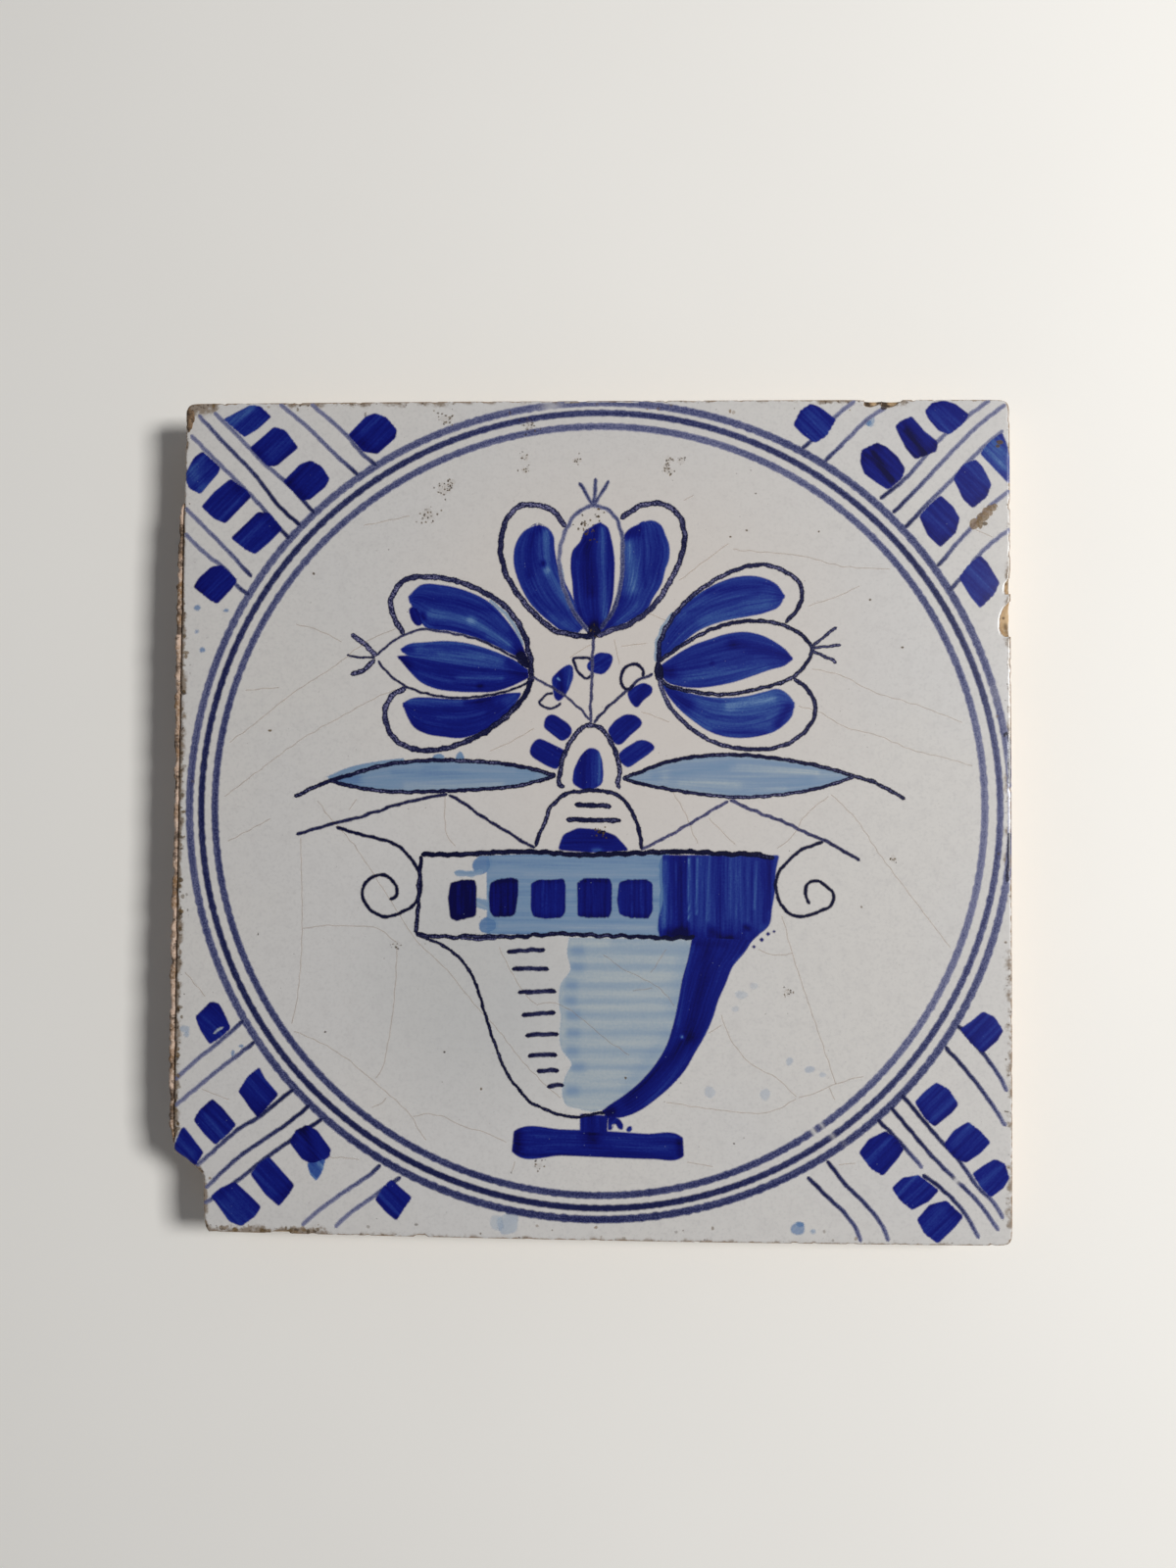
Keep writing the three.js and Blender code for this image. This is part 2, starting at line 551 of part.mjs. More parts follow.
// Stems meet above the bud, each with a small loop beside its knot
lay("stems", materials.outline, together([
  [[0.6, 27.6], [0.1, 24], [0.1, 20.3], [0, 17], [0, 15]],
  [[9.3, 22], [7.8, 21.6], [6, 20], [3.2, 17.6], [0, 15]],
  [[-3.9, 18.7], [-1.8, 16.8], [0, 15]],
  [[0.1, 24.4], [-1.2, 24.8], [-2.7, 24.2], [-2.2, 22.8], [-0.9, 21.7], [0.1, 22]],
  [[7.8, 21.6], [7, 23.5], [5.4, 22.9], [4.9, 21.3], [5.4, 19.5]],
  [[-4.5, 17.1], [-6.4, 16.8], [-8.1, 17.8], [-7, 18.8]],
  [[-4.6, 17.1], [-3.7, 18.6]],
].map((points) => stroke(points, BRANCH_WIDTH))));

// Long leaves, and the branches below them that carry a scroll on each side of the vase
lay("left_leaf_outline", materials.outline, together([
  [[-46.7, 2.7], [-43.5, 4.1], [-40.3, 5.3], [-35.3, 7], [-28.7, 8.3], [-22, 8.7], [-14, 8.1], [-5.8, 6.2]],
  [[-40.3, 5.2], [-36.7, 4.2], [-30, 3.6], [-21.3, 3.8], [-12, 4.7], [-5.8, 6.3]],
].map((points) => stroke(points, OUTLINE_WIDTH))));
lay("right_leaf_outline", materials.outline, together([
  [[5.6, 6], [9.6, 7.8], [15.7, 9.3], [22.9, 9.7], [30, 9], [37.1, 7.6], [42.9, 5.9], [48.6, 2.9]],
  [[5.6, 6.1], [10.4, 4.6], [17.5, 3.5], [24.6, 3.1], [31.8, 3.9], [38.4, 5.3], [41.3, 6.5]],
].map((points) => stroke(points, OUTLINE_WIDTH))));
lay("left_branch", materials.outline, together([
  [[-9.4, -4.6], [-13.7, -2.2], [-18.6, 0.7], [-22.5, 2.6]],
  [[-22.3, 2.6], [-28.7, 1.3], [-36, -0.6], [-46.2, -3.2]],
  [[-40.4, -1.8], [-35, -3.2], [-31.5, -4.3], [-28.9, -6.3], [-27.7, -8]],
].map((points) => stroke(points, BRANCH_WIDTH))));
lay("left_scroll", materials.outline, stroke([
  [-27.9, -13.9], [-30, -15.3], [-32.3, -15.9], [-34.6, -14.5], [-35.7, -12.3], [-34.8, -10.2], [-32.7, -9.3],
  [-30.7, -10.4], [-30.1, -12], [-31.5, -13.2],
], BRANCH_WIDTH));
lay("right_branch", materials.outline, together([
  [[8.9, -4.6], [14.5, -1.8], [21.7, 1.9]],
  [[21.5, 1.9], [28.2, -0.2], [34.5, -2.9], [41.8, -6.5]],
  [[36.2, -3.7], [32.3, -5.2], [29.9, -7.8], [29.2, -10.3], [29.5, -12.8], [31.5, -15.1], [34.3, -15],
    [37.2, -13.5], [37.6, -11.8], [36, -10.1], [34.2, -9.9], [33.3, -11.3], [34, -13.3]],
].map((points) => stroke(points, BRANCH_WIDTH))));

// Short dashes: hatching down the lit side of the bowl, and two across the dome
const HATCHES = [
  [[-13, -21.2], [-6.8, -20.8]],
  [[-12.2, -23.9], [-6.2, -23.7]],
  [[-11.2, -27.5], [-5.1, -27.2]],
  [[-10.6, -31], [-5.2, -30.5]],
  [[-10, -34.1], [-5.3, -33.8]],
  [[-9.6, -37.2], [-4.9, -37]],
  [[-8.2, -39.6], [-4.6, -39.4]],
  [[-6.6, -42], [-4.6, -41.7]],
];
HATCHES.forEach((points, i) => lay(`bowl_hatch_${i + 1}`, materials.outline, stroke(points, HATCH_WIDTH)));
lay("dome_dash_upper", materials.outline, stroke([[-2.5, 1.8], [3.2, 1.6]], HATCH_WIDTH));
lay("dome_dash_lower", materials.outline, stroke([[-3.8, -0.5], [4.7, -0.6]], HATCH_WIDTH));

// Filled with the broad brush

// An upright dab between two corners on the sheet
function sheetDab([left, bottom, right, top], corner) {
  const middle = new THREE.Vector2(left + right, bottom + top).multiplyScalar(SHEET_SCALE / 2);
  return dab(middle, (right - left) * SHEET_SCALE, (top - bottom) * SHEET_SCALE, corner, 0);
}

const RIM_BLOCKS = [
  [-22.2, -16.3, -17.8, -10.1],
  [-15.7, -15.7, -11.3, -9.7],
  [-9.2, -15.9, -3.8, -9.7],
  [-2, -15.8, 3.4, -9.6],
  [4.5, -15.8, 9.7, -9.8],
];
RIM_BLOCKS.forEach((corners, i) => {
  lay(`rim_block_${i + 1}`, materials.cobalt, sheetDab(corners, RIM_BLOCK_CORNER));
});
for (const [place, { petals }] of Object.entries(TULIPS)) {
  for (const [side, points] of Object.entries(petals)) {
    lay(`${place}_tulip_petal_${side}`, materials.cobalt, field(points));
  }
}

const FILLS = {
  stem_knot_left: [[-5.9, 21.6], [-5.6, 19.9], [-4.4, 19.4], [-3.3, 20.4], [-2.9, 22.3], [-3.6, 23.6],
    [-4.8, 22.9]],
  stem_knot_middle: [[1, 25], [0.9, 23.4], [2, 22.2], [3, 23.3], [3.3, 25], [2, 25.6]],
  stem_knot_right: [[5.8, 18.8], [7.1, 17], [8.6, 18.4], [9.5, 19.8], [8.3, 20.7], [7, 19.9]],
  leaflet_upper_left: [[-6.3, 15.9], [-7.4, 14], [-5.8, 12.5], [-4, 12], [-3.3, 13.4], [-4.4, 15]],
  leaflet_lower_left: [[-8.2, 12.1], [-9.6, 10], [-8, 8.6], [-5.7, 7.4], [-5, 9.4], [-5.4, 11.1]],
  leaflet_upper_right: [[5.3, 15.9], [3.3, 13.8], [3.8, 12.4], [4.8, 11.2], [7.8, 14.3], [7.3, 15.6]],
  leaflet_lower_right: [[7.5, 11.9], [5.3, 10.4], [5.4, 8.3], [6.2, 7.9], [9.7, 10.2], [9.7, 11.3]],
  bud: [[0.2, 10.8], [-1.3, 10], [-2.7, 7.6], [-2.7, 5.7], [-0.8, 5.2], [1.4, 5.4], [2.1, 6.8], [1.6, 9.2]],
  dome_fill: [[-4.4, -3.1], [-4.7, -4.8], [0.5, -5], [5.8, -4.8], [4.2, -2.9], [1, -1.9], [-2.2, -2]],
  vase_shade: [
    [11.1, -6.9], [11.3, -12], [11, -17.6], [15.6, -17.7], [15.9, -19.8], [14.4, -25], [13, -32], [10, -38.6],
    [6, -42.9], [2.6, -45.1], [4.5, -46.3], [9, -44.5], [13.5, -40.8], [17.8, -34], [20, -28.2],
      [22.1, -23.4],
    [25, -19.2], [27.8, -16.2], [28.5, -12], [28.7, -7], [20, -6.7],
  ],
};
for (const [name, points] of Object.entries(FILLS)) {
  lay(name, materials.cobalt, field(points));
}
lay("foot", materials.cobalt, together([
  sheetDab([-11.5, -52.5, 14.5, -48.7], FOOT_CORNER),
  sheetDab([-1.4, -49.5, 3, -46.9], FOOT_STEM_CORNER),
]));

// Thin washes, laid last
const WASHES = {
  left_leaf_wash: [[-38, 5.3], [-31, 4.4], [-21, 4.7], [-13, 5.5], [-9, 6.3], [-13, 7], [-22, 7.8], [-32, 7]],
  right_leaf_wash: [[8.5, 6.2], [14, 4.9], [24, 4], [32, 4.7], [38.3, 6.1], [31, 8.1], [22.9, 8.8],
    [14.5, 8.1]],
  rim_wash: [
    [-17.4, -7.5], [-17, -12], [-17.3, -16.5], [-16.4, -17.7], [-8, -17.6], [2, -17.4], [10, -17.6],
      [10.5, -12],
    [10.4, -6.9], [0, -6.9], [-8, -6.7], [-16, -6.9],
  ],
  bowl_wash: [
    [-3.2, -19.8], [-4.1, -26], [-4.2, -33], [-3, -38.5], [-3.3, -43], [-1.5, -44.9], [1.5, -44.9],
      [5.5, -42.5],
    [9.4, -38], [12.3, -31], [13.8, -25], [14.8, -19.8], [6, -19.5],
  ],
};
for (const [name, points] of Object.entries(WASHES)) {
  lay(name, materials.wash, field(points));
}

// The mortar makes the part wider on its left, so the origin moves to the middle of the whole
tile.position.x = MORTAR_REACH / 2;

export default tile;
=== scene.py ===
import itertools
import math
import bpy
import numpy as np
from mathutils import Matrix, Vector


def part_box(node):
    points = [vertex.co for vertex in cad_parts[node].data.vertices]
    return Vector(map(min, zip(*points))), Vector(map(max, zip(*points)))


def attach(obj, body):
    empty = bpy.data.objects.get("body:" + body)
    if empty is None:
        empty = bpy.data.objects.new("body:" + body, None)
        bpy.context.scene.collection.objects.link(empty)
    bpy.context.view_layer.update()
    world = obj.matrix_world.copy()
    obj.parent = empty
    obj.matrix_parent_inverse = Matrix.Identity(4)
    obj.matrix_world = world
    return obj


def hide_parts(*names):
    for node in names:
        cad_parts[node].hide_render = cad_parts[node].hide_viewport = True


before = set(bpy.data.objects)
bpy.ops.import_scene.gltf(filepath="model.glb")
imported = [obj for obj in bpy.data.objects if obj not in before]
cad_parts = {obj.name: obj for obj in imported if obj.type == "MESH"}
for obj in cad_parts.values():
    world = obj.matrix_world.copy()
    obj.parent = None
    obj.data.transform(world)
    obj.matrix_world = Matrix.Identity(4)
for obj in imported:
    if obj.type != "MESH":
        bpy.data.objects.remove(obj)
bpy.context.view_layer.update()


# The camera looks straight down on the tile from 18 cm above its face, a touch to the right of the
# middle and tilted by less than two degrees. Its wide lens takes in the tile with a broad margin.
camera_data = bpy.data.cameras.new("camera")
camera_data.lens = 27
camera_data.sensor_width = 36
camera_data.clip_start = 0.01
camera = bpy.data.objects.new("camera", camera_data)
camera.location = (0.00620, -0.00020, 0.19209)
camera.rotation_euler = [math.radians(turn) for turn in (1.649, 1.872, 0.379)]
bpy.context.collection.objects.link(camera)
bpy.context.scene.camera = camera
bpy.context.scene.view_settings.view_transform = "Standard"


# Light and floor. One large soft lamp stands to the right and a little behind, at half height, as
# daylight from a window would, and a dim dome that is brighter near the horizon fills the shadows.
LAMP_BEARING = 10  # degrees, counted from the right side towards the top
LAMP_HEIGHT = 47  # degrees above the floor
LAMP_DISTANCE = 0.8
LAMP_SIZE = 0.2
LAMP_POWER = 6.05
DOME_TOP = 0.07
DOME_RIM = 0.5
FLOOR_REACH = 1.6


def ink(red, green, blue):
    """A colour as it looks on screen, 0 to 255, as the linear light that a shader works with."""
    seen = np.array([red, green, blue]) / 255
    linear = np.where(seen > 0.04045, ((seen + 0.055) / 1.055) ** 2.4, seen / 12.92)
    return (*linear.tolist(), 1)


def node(tree, kind, inputs=(), **settings):
    """Adds a shader node. Each input is a value for its socket, or an output that is joined to it."""
    new = tree.nodes.new("ShaderNode" + kind)
    for name, value in settings.items():
        setattr(new, name, value)
    for key, value in dict(inputs).items():
        if isinstance(value, bpy.types.NodeSocket):
            tree.links.new(value, new.inputs[key])
        else:
            new.inputs[key].default_value = value
    return new


def calc(tree, operation, *values):
    """One sum of two or three values."""
    return node(tree, "Math", dict(enumerate(values)), operation=operation).outputs[0]


def between(tree, value, low, high, start=0.0, end=1.0):
    """A soft step: start below low, end above high."""
    inputs = {"Value": value, "From Min": low, "From Max": high, "To Min": start, "To Max": end}
    return node(tree, "MapRange", inputs, interpolation_type="SMOOTHSTEP").outputs[0]


def mixed(tree, share, first, second):
    """The second colour laid over the first by the share given."""
    return node(tree, "Mix", {0: share, 6: first, 7: second}, data_type="RGBA").outputs[2]


def cloud(tree, where, size, detail=2.0, roughness=0.5):
    """Soft noise from 0 to 1 whose patches are about size mm across."""
    inputs = {"Vector": where, "Scale": 1000 / size, "Detail": detail, "Roughness": roughness}
    return node(tree, "TexNoise", inputs).outputs[0]


def new_material(name):
    """An empty material, its node tree, its Principled shader and the object's own coordinates."""
    material = bpy.data.materials.new(name)
    material.use_nodes = True
    tree = material.node_tree
    return material, tree, tree.nodes["Principled BSDF"], node(tree, "TexCoord").outputs["Object"]


def dry_finish(tree, shader, colour, roughness, shine, bumps=None, strength=0.8, depth=0.0003):
    """Gives a shader its colour and a dull surface, and if wanted bumps, whose depth is in metres."""
    tree.links.new(colour, shader.inputs["Base Color"])
    shader.inputs["Roughness"].default_value = roughness
    shader.inputs["Specular IOR Level"].default_value = shine
    if bumps is not None:
        bump = node(tree, "Bump", {"Height": bumps, "Strength": strength, "Distance": depth})
        tree.links.new(bump.outputs[0], shader.inputs["Normal"])


lamp_data = bpy.data.lights.new("window_light", "AREA")
lamp_data.size = LAMP_SIZE
lamp_data.energy = LAMP_POWER
lamp_data.color = ink(255, 253, 249)[:3]
lamp = bpy.data.objects.new("window_light", lamp_data)
bearing, lift = math.radians(LAMP_BEARING), math.radians(LAMP_HEIGHT)
to_lamp = Vector((
    math.cos(lift) * math.cos(bearing), math.cos(lift) * math.sin(bearing), math.sin(lift),
))
lamp.location = to_lamp * LAMP_DISTANCE
lamp.rotation_euler = to_lamp.to_track_quat("Z", "Y").to_euler()
bpy.context.collection.objects.link(lamp)

world = bpy.data.worlds.new("dome")
world.use_nodes = True
bpy.context.scene.world = world
sky = world.node_tree
direction = node(sky, "TexCoord").outputs["Generated"]
upwards = node(sky, "SeparateXYZ", {0: direction}).outputs["Z"]
low_down = calc(sky, "POWER", between(sky, upwards, 1.0, 0.0), 1.5)
brightness = calc(sky, "MULTIPLY_ADD", low_down, DOME_RIM - DOME_TOP, DOME_TOP)
sky.nodes["Background"].inputs["Color"].default_value = ink(252, 252, 255)
sky.links.new(brightness, sky.nodes["Background"].inputs["Strength"])

floor_mesh = bpy.data.meshes.new("floor")
floor_mesh.from_pydata(
    [(x * FLOOR_REACH, y * FLOOR_REACH, 0) for x, y in ((-1, -1), (1, -1), (1, 1), (-1, 1))],
    [], [(0, 1, 2, 3)],
)
floor = bpy.data.objects.new("floor", floor_mesh)
bpy.context.collection.objects.link(floor)
paper, tree, shader, where = new_material("pale_floor")
patches = cloud(tree, where, 60, 3)
dry_finish(tree, shader, mixed(tree, patches, ink(240, 239, 236), ink(245, 244, 241)), 0.9, 0.2)
floor_mesh.materials.append(paper)


# The biscuit is a slab of sandy earthenware, rolled out, cut to a square and fired. The sides lean in
# towards the back so that tiles meet closely on a wall. One corner has broken off, and the edges are
# chipped down to the tan body.
glaze_low, glaze_high = (np.array(corner) * 1000 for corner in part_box("tin_glaze"))
MIDDLE_X = (glaze_low[0] + glaze_high[0]) / 2
HALF_WIDTH = (glaze_high[0] - glaze_low[0]) / 2
HALF_HEIGHT = (glaze_high[1] - glaze_low[1]) / 2
FACE_Z = glaze_high[2]
BISCUIT_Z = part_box("biscuit_body")[1][2] * 1000
SIDE_TAPER = 1.5  # mm by which the sides lean in at the back
BOWS = {"right": 0.1, "top": 0.15, "left": 0.1, "bottom": 0.35}  # mm by which they draw in at their ends
CORNER_SHARPNESS = 110
BREAK_LINE = [
    (-66.2, -51.6), (-65, -52.9), (-63.2, -53.8), (-61.4, -55.3), (-60.1, -56.6), (-60.2, -60.3),
    (-60, -64), (-58.6, -66.4),
]
BREAK_LEAN = 0.9  # mm by which the broken side stands out at the back
BITES = [  # place on the edge, half of the length, depth
    (43.9, 65.4, 1.35, 1.05), (46.8, 65.4, 1.5, 1.15), (64.95, 36.2, 1.3, 0.9),
    (64.95, 31, 2.7, 1.65), (-26, -65.4, 1.0, 0.35), (-48, -65.3, 1.6, 0.4),
]
NICKS = 90  # small chips all round
ROUND = 1440  # points round each outline
chisel = np.random.default_rng(41)
nick_angles = chisel.uniform(-math.pi, math.pi, NICKS)
nick_spans = chisel.uniform(0.2, 0.8, NICKS)
nick_depths = chisel.uniform(0.04, 0.28, NICKS) ** 1.3


def squareness(angle):
    """How far a ray turns away from the side that it meets: the larger of cosine and sine."""
    return np.maximum(np.abs(np.cos(angle)), np.abs(np.sin(angle)))


def missing(angle):
    """Depth of chips and nicks at each angle: a sum of blunt bites, each a flattened half circle."""
    bites = [(math.atan2(y, x), span, depth) for x, y, span, depth in BITES]
    bites += list(zip(nick_angles, nick_spans, nick_depths))
    total = np.zeros_like(angle)
    for centre, span, depth in bites:
        away = np.abs((angle - centre + math.pi) % (2 * math.pi) - math.pi) * HALF_WIDTH
        away = away / squareness(centre) ** 2 / span
        total = np.maximum(total, depth * np.sqrt(np.clip(1 - away**2.4, 0, 1)) / squareness(centre))
    return total


def edge_radius(angle, inset=0.0, lean=0.0, bitten=1.0):
    """Distance from the middle to the edge at each angle: the nearest of four slightly bowed sides,
    rounded where two meet, cut by the broken line at the bottom left, less the chips."""
    angle = (angle + math.pi) % (2 * math.pi) - math.pi
    cosine, sine = np.cos(angle), np.sin(angle)
    steep = np.clip(np.abs(sine) / np.maximum(np.abs(cosine), 0.3), 0, 1)
    flat = np.clip(np.abs(cosine) / np.maximum(np.abs(sine), 0.3), 0, 1)
    side_bow = np.where(cosine > 0, BOWS["right"], BOWS["left"])
    end_bow = np.where(sine > 0, BOWS["top"], BOWS["bottom"])
    sides = (HALF_WIDTH - inset - side_bow * steep**2) / np.maximum(np.abs(cosine), 0.3)
    ends = (HALF_HEIGHT - inset - end_bow * flat**2) / np.maximum(np.abs(sine), 0.3)
    nearest = np.minimum(sides, ends)
    powers = (nearest / sides) ** CORNER_SHARPNESS + (nearest / ends) ** CORNER_SHARPNESS
    rounded = nearest * powers ** (-1 / CORNER_SHARPNESS)
    line = np.array(BREAK_LINE)
    bearings = np.arctan2(line[:, 1], line[:, 0])
    broken = np.interp(angle, bearings, np.hypot(*line.T), left=999, right=999)
    return np.minimum(rounded, broken + lean) - bitten * missing(angle)


def rough(points, size, seed):
    """Lumpiness from about -1 to 1: twelve sine waves of about the same length in random
    directions, added up."""
    draw = np.random.default_rng(seed)
    ways = draw.normal(size=(12, points.shape[-1]))
    ways *= draw.uniform(0.7, 1.4, (12, 1)) * 2 * math.pi / size
    lengths = size / (2 * math.pi) / draw.uniform(0.7, 1.4, (12, 1))
    ways /= np.linalg.norm(ways, axis=1, keepdims=True) * lengths
    starts = draw.uniform(0, 2 * math.pi, 12)
    return np.sin(points @ ways.T + starts).sum(-1) / 3.5


def relief(points, *layers):
    """Lumpiness in layers added up. A layer is a height, the size of its lumps and a seed."""
    return sum(height * rough(points, size, seed) for height, size, seed in layers)


def ring_faces(rings, count, poles=2):
    """Quads between neighbouring rings of count points, and a fan from each pole: one at the first
    ring, or one at each end."""
    start, place = np.meshgrid(np.arange(rings - 1) * count, np.arange(count), indexing="ij")
    after = (place + 1) % count
    quads = [start + place, start + after, start + count + after, start + count + place]
    faces = np.stack(quads, -1).reshape(-1, 4).tolist()
    spot, turned, top = place[0], after[0], (rings - 1) * count
    pole = np.full(count, rings * count)
    faces += np.stack([pole, turned, spot], -1).tolist()
    if poles == 2:
        faces += np.stack([pole + 1, top + spot, top + turned], -1).tolist()
    return faces


def make_piece(name, points, faces, material, **values):
    """A mesh object from points in mm on the tile and faces; values are kept as attributes."""
    mesh = bpy.data.meshes.new(name)
    placed = (points + np.array([MIDDLE_X, 0, 0])) / 1000
    mesh.from_pydata(placed.tolist(), [], faces)
    for label, numbers in values.items():
        kind = "FLOAT_VECTOR" if numbers.ndim == 2 else "FLOAT"
        attribute = mesh.attributes.new(label, kind, "POINT")
        attribute.data.foreach_set("vector" if numbers.ndim == 2 else "value", numbers.ravel())
    mesh.polygons.foreach_set("use_smooth", [True] * len(mesh.polygons))
    mesh.materials.append(material)
    piece = bpy.data.objects.new(name, mesh)
    bpy.context.collection.objects.link(piece)
    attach(piece, "root")
    return piece


def tones_at(x, y, tone, dabs):
    """A tone at each place, plus soft strokes that change it. A dab is the two ends of such a stroke,
    its half width and the change of tone."""
    total = np.full(np.shape(x), float(tone))
    for x1, y1, x2, y2, size, change in dabs:
        length = max((x2 - x1) ** 2 + (y2 - y1) ** 2, 1e-9)
        t = np.clip(((x - x1) * (x2 - x1) + (y - y1) * (y2 - y1)) / length, 0, 1)
        far = (x - x1 - t * (x2 - x1)) ** 2 + (y - y1 - t * (y2 - y1)) ** 2
        total = total + change * np.exp(-far / size**2)
    return total


CHIP_DIRT = [  # dirt in the chips: two ends, half width, strength
    (45.2, 65.4, 45.4, 64, 0.7, 1.2), (42.8, 65.2, 43, 64.5, 0.5, 0.9), (48, 65.2, 48.2, 64.6, 0.5, 0.8),
    (43.2, 64.3, 47.8, 64.2, 0.25, 0.6), (64.2, 30, 64.8, 28, 0.5, 0.5), (64.6, 37, 64.9, 35, 0.4, 0.5),
]
SIDE_LEVELS = np.linspace(0.45, BISCUIT_Z - 0.1, 20)
BACK_INSETS = (10, 4, SIDE_TAPER + 1.2, SIDE_TAPER + 0.45)
BACK_LIFT = 0.05  # the back is uneven, so most of it lies this far off the floor
FRONT_INSETS = (0.12, 0.5, 0.95, 1.5, 6, 30)
BEHIND = 0.1  # mm by which the biscuit keeps behind the edge of the glaze
CHIP_SHARE, CHIP_FADE = 0.12, 0.9  # how much of a chip the biscuit has lost, and how fast that fades
SIDE_LUMPS = (0.09, 7, 3), (0.07, 2.6, 4), (0.05, 1.1, 5)
angles = np.linspace(-math.pi, math.pi, ROUND, endpoint=False)
levels = [(0.0, inset) for inset in BACK_INSETS] + [(0.12, SIDE_TAPER + 0.16)]
levels += [(z, SIDE_TAPER * (1 - z / BISCUIT_Z)) for z in SIDE_LEVELS]
levels += [(BISCUIT_Z, inset) for inset in FRONT_INSETS]
rings = []
for height, inset in levels:
    fade = CHIP_SHARE * math.exp(-(BISCUIT_Z - height) / CHIP_FADE)
    lean = BREAK_LEAN * (1 - height / BISCUIT_Z) - BEHIND
    reach = edge_radius(angles, inset + BEHIND, lean - max(inset - SIDE_TAPER, 0), fade)
    ring = np.stack([reach * np.cos(angles), reach * np.sin(angles), np.full(ROUND, height)], -1)
    side = 0.0 if inset > SIDE_TAPER + 0.6 or height == BISCUIT_Z else 1.0
    bumps = relief(ring, *SIDE_LUMPS) - BEHIND
    ring[:, :2] *= 1 + side * bumps[:, None] / reach[:, None]
    if height == 0:
        ring[:, 2] += BACK_LIFT + 0.04 * np.clip(rough(ring, 5, 6), -1, 1)
    rings.append(ring)
poles = np.array([[0, 0, BACK_LIFT], [0, 0, BISCUIT_Z]])
biscuit_points = np.concatenate(rings + [poles])
chip_dirt = tones_at(biscuit_points[:, 0], biscuit_points[:, 1], 0, CHIP_DIRT)
chip_dirt *= np.clip((biscuit_points[:, 2] - BISCUIT_Z + CHIP_FADE) / 0.6, 0, 1)

clay, tree, shader, where = new_material("sandy_biscuit")
mottle = cloud(tree, where, 6, 5, 0.6)
sand = cloud(tree, where, 0.5, 3, 0.7)
soot = cloud(tree, where, 11, 4, 0.65)
colour = mixed(tree, between(tree, mottle, 0.35, 0.65), ink(168, 136, 98), ink(198, 170, 134))
colour = mixed(tree, between(tree, sand, 0.5, 0.75), colour, ink(218, 196, 166))
colour = mixed(tree, between(tree, soot, 0.48, 0.66, 0, 0.6), colour, ink(112, 90, 68))
grit = node(tree, "TexVoronoi", {"Vector": where, "Scale": 1000 / 1.4})
dots = between(tree, grit.outputs["Distance"], 0.22, 0.1, 0, 0.7)
colour = mixed(tree, dots, colour, ink(84, 64, 50))
dirty = node(tree, "Attribute", attribute_name="dirt").outputs["Fac"]
colour = mixed(tree, between(tree, dirty, 0.1, 0.7, 0, 0.9), colour, ink(46, 36, 32))
grain = calc(tree, "MULTIPLY_ADD", mottle, 0.6, calc(tree, "MULTIPLY", sand, 0.4))
dry_finish(tree, shader, colour, 0.92, 0.25, grain, depth=0.0004)

biscuit = make_piece("biscuit", biscuit_points, ring_faces(len(rings), ROUND), clay, dirt=chip_dirt)
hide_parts("biscuit_body")


# The tin glaze is one opaque white coat, poured over the face and fired. It has pulled into slow waves,
# rolls over at the edge and has chipped there, and dirt has stained its thin rim brown.
ROLL = 0.42  # radius of the rolled edge
DROOP, DROOP_REACH = 0.05, 1.6  # the face sinks by this near the edge, within this distance
WAVES = (0.02, 48, 11), (0.008, 26, 12)
WAVE_ROOM = 0.03  # mm by which the middle height of the waves lies below the top of the glaze
GLAZE_INSETS = [
    0.0, 0.015, 0.045, 0.09, 0.15, 0.22, 0.31, 0.42, 0.6, 0.9, 1.3, 1.8, 2.5, 3.5, 4.8, 6.3, 8, 10,
    12, 14, 16, 18, 20.5, 23, 25.5, 28, 31, 34, 37, 40, 43, 46, 49, 52, 55, 58, 61, 63,
]


def edge_gap(x, y):
    """Distance in mm from a place on the face to the edge of the glaze."""
    angle = np.arctan2(y, x)
    return (edge_radius(angle) - np.hypot(x, y)) * squareness(angle)


def face_height(x, y):
    """Height of the glaze: flat, plus two slow waves, less a droop and a quarter circle at the edge."""
    gap = np.maximum(edge_gap(x, y), 0)
    place = np.stack([x, y], -1)
    waves = relief(place, *WAVES)
    curl = np.clip(ROLL - gap, 0, ROLL)
    rolled = ROLL - np.sqrt(ROLL**2 - curl**2)
    return FACE_Z - WAVE_ROOM + waves - DROOP * np.exp(-gap / DROOP_REACH) - rolled


SOIL = [  # where dirt has settled on the edge: two ends, half width, strength
    (-65, 33, -65, -50, 0.9, 0.85), (-65, 58, -65, 33, 0.6, 0.5), (-64.8, 64.9, -60.6, 65.2, 1.3, 1.0),
    (-65, 64.5, -65, 58.5, 1.1, 1.0), (-59, -65, -42, -65.2, 1.1, 0.9),
    (-42, -65.2, -10, -65.6, 0.7, 0.4), (-10, -65.6, 60, -65.2, 0.8, 0.4),
    (-50, 65.3, -22, 65.3, 0.9, 0.6), (36, 65.3, 50, 65.3, 0.9, 0.7), (64.9, 38, 64.9, 28, 0.9, 0.6),
    (64.9, 14, 64.8, -12, 1.1, 0.6), (64.8, -20, 64.6, -62, 1.1, 0.48),
    (-65, -52, -60.5, -56, 0.7, 0.9), (-60.2, -57, -59.8, -64, 0.6, 0.9),
    (-22, 65.4, 36, 65.4, 0.6, 0.45), (65.2, 60, 65.1, 38, 0.9, 0.55), (65, 28, 64.9, 14, 0.9, 0.6),
]
reach = edge_radius(angles)
under = edge_radius(angles, 0.06)
rings = [np.stack([under * np.cos(angles), under * np.sin(angles), np.full(ROUND, BISCUIT_Z)], -1)]
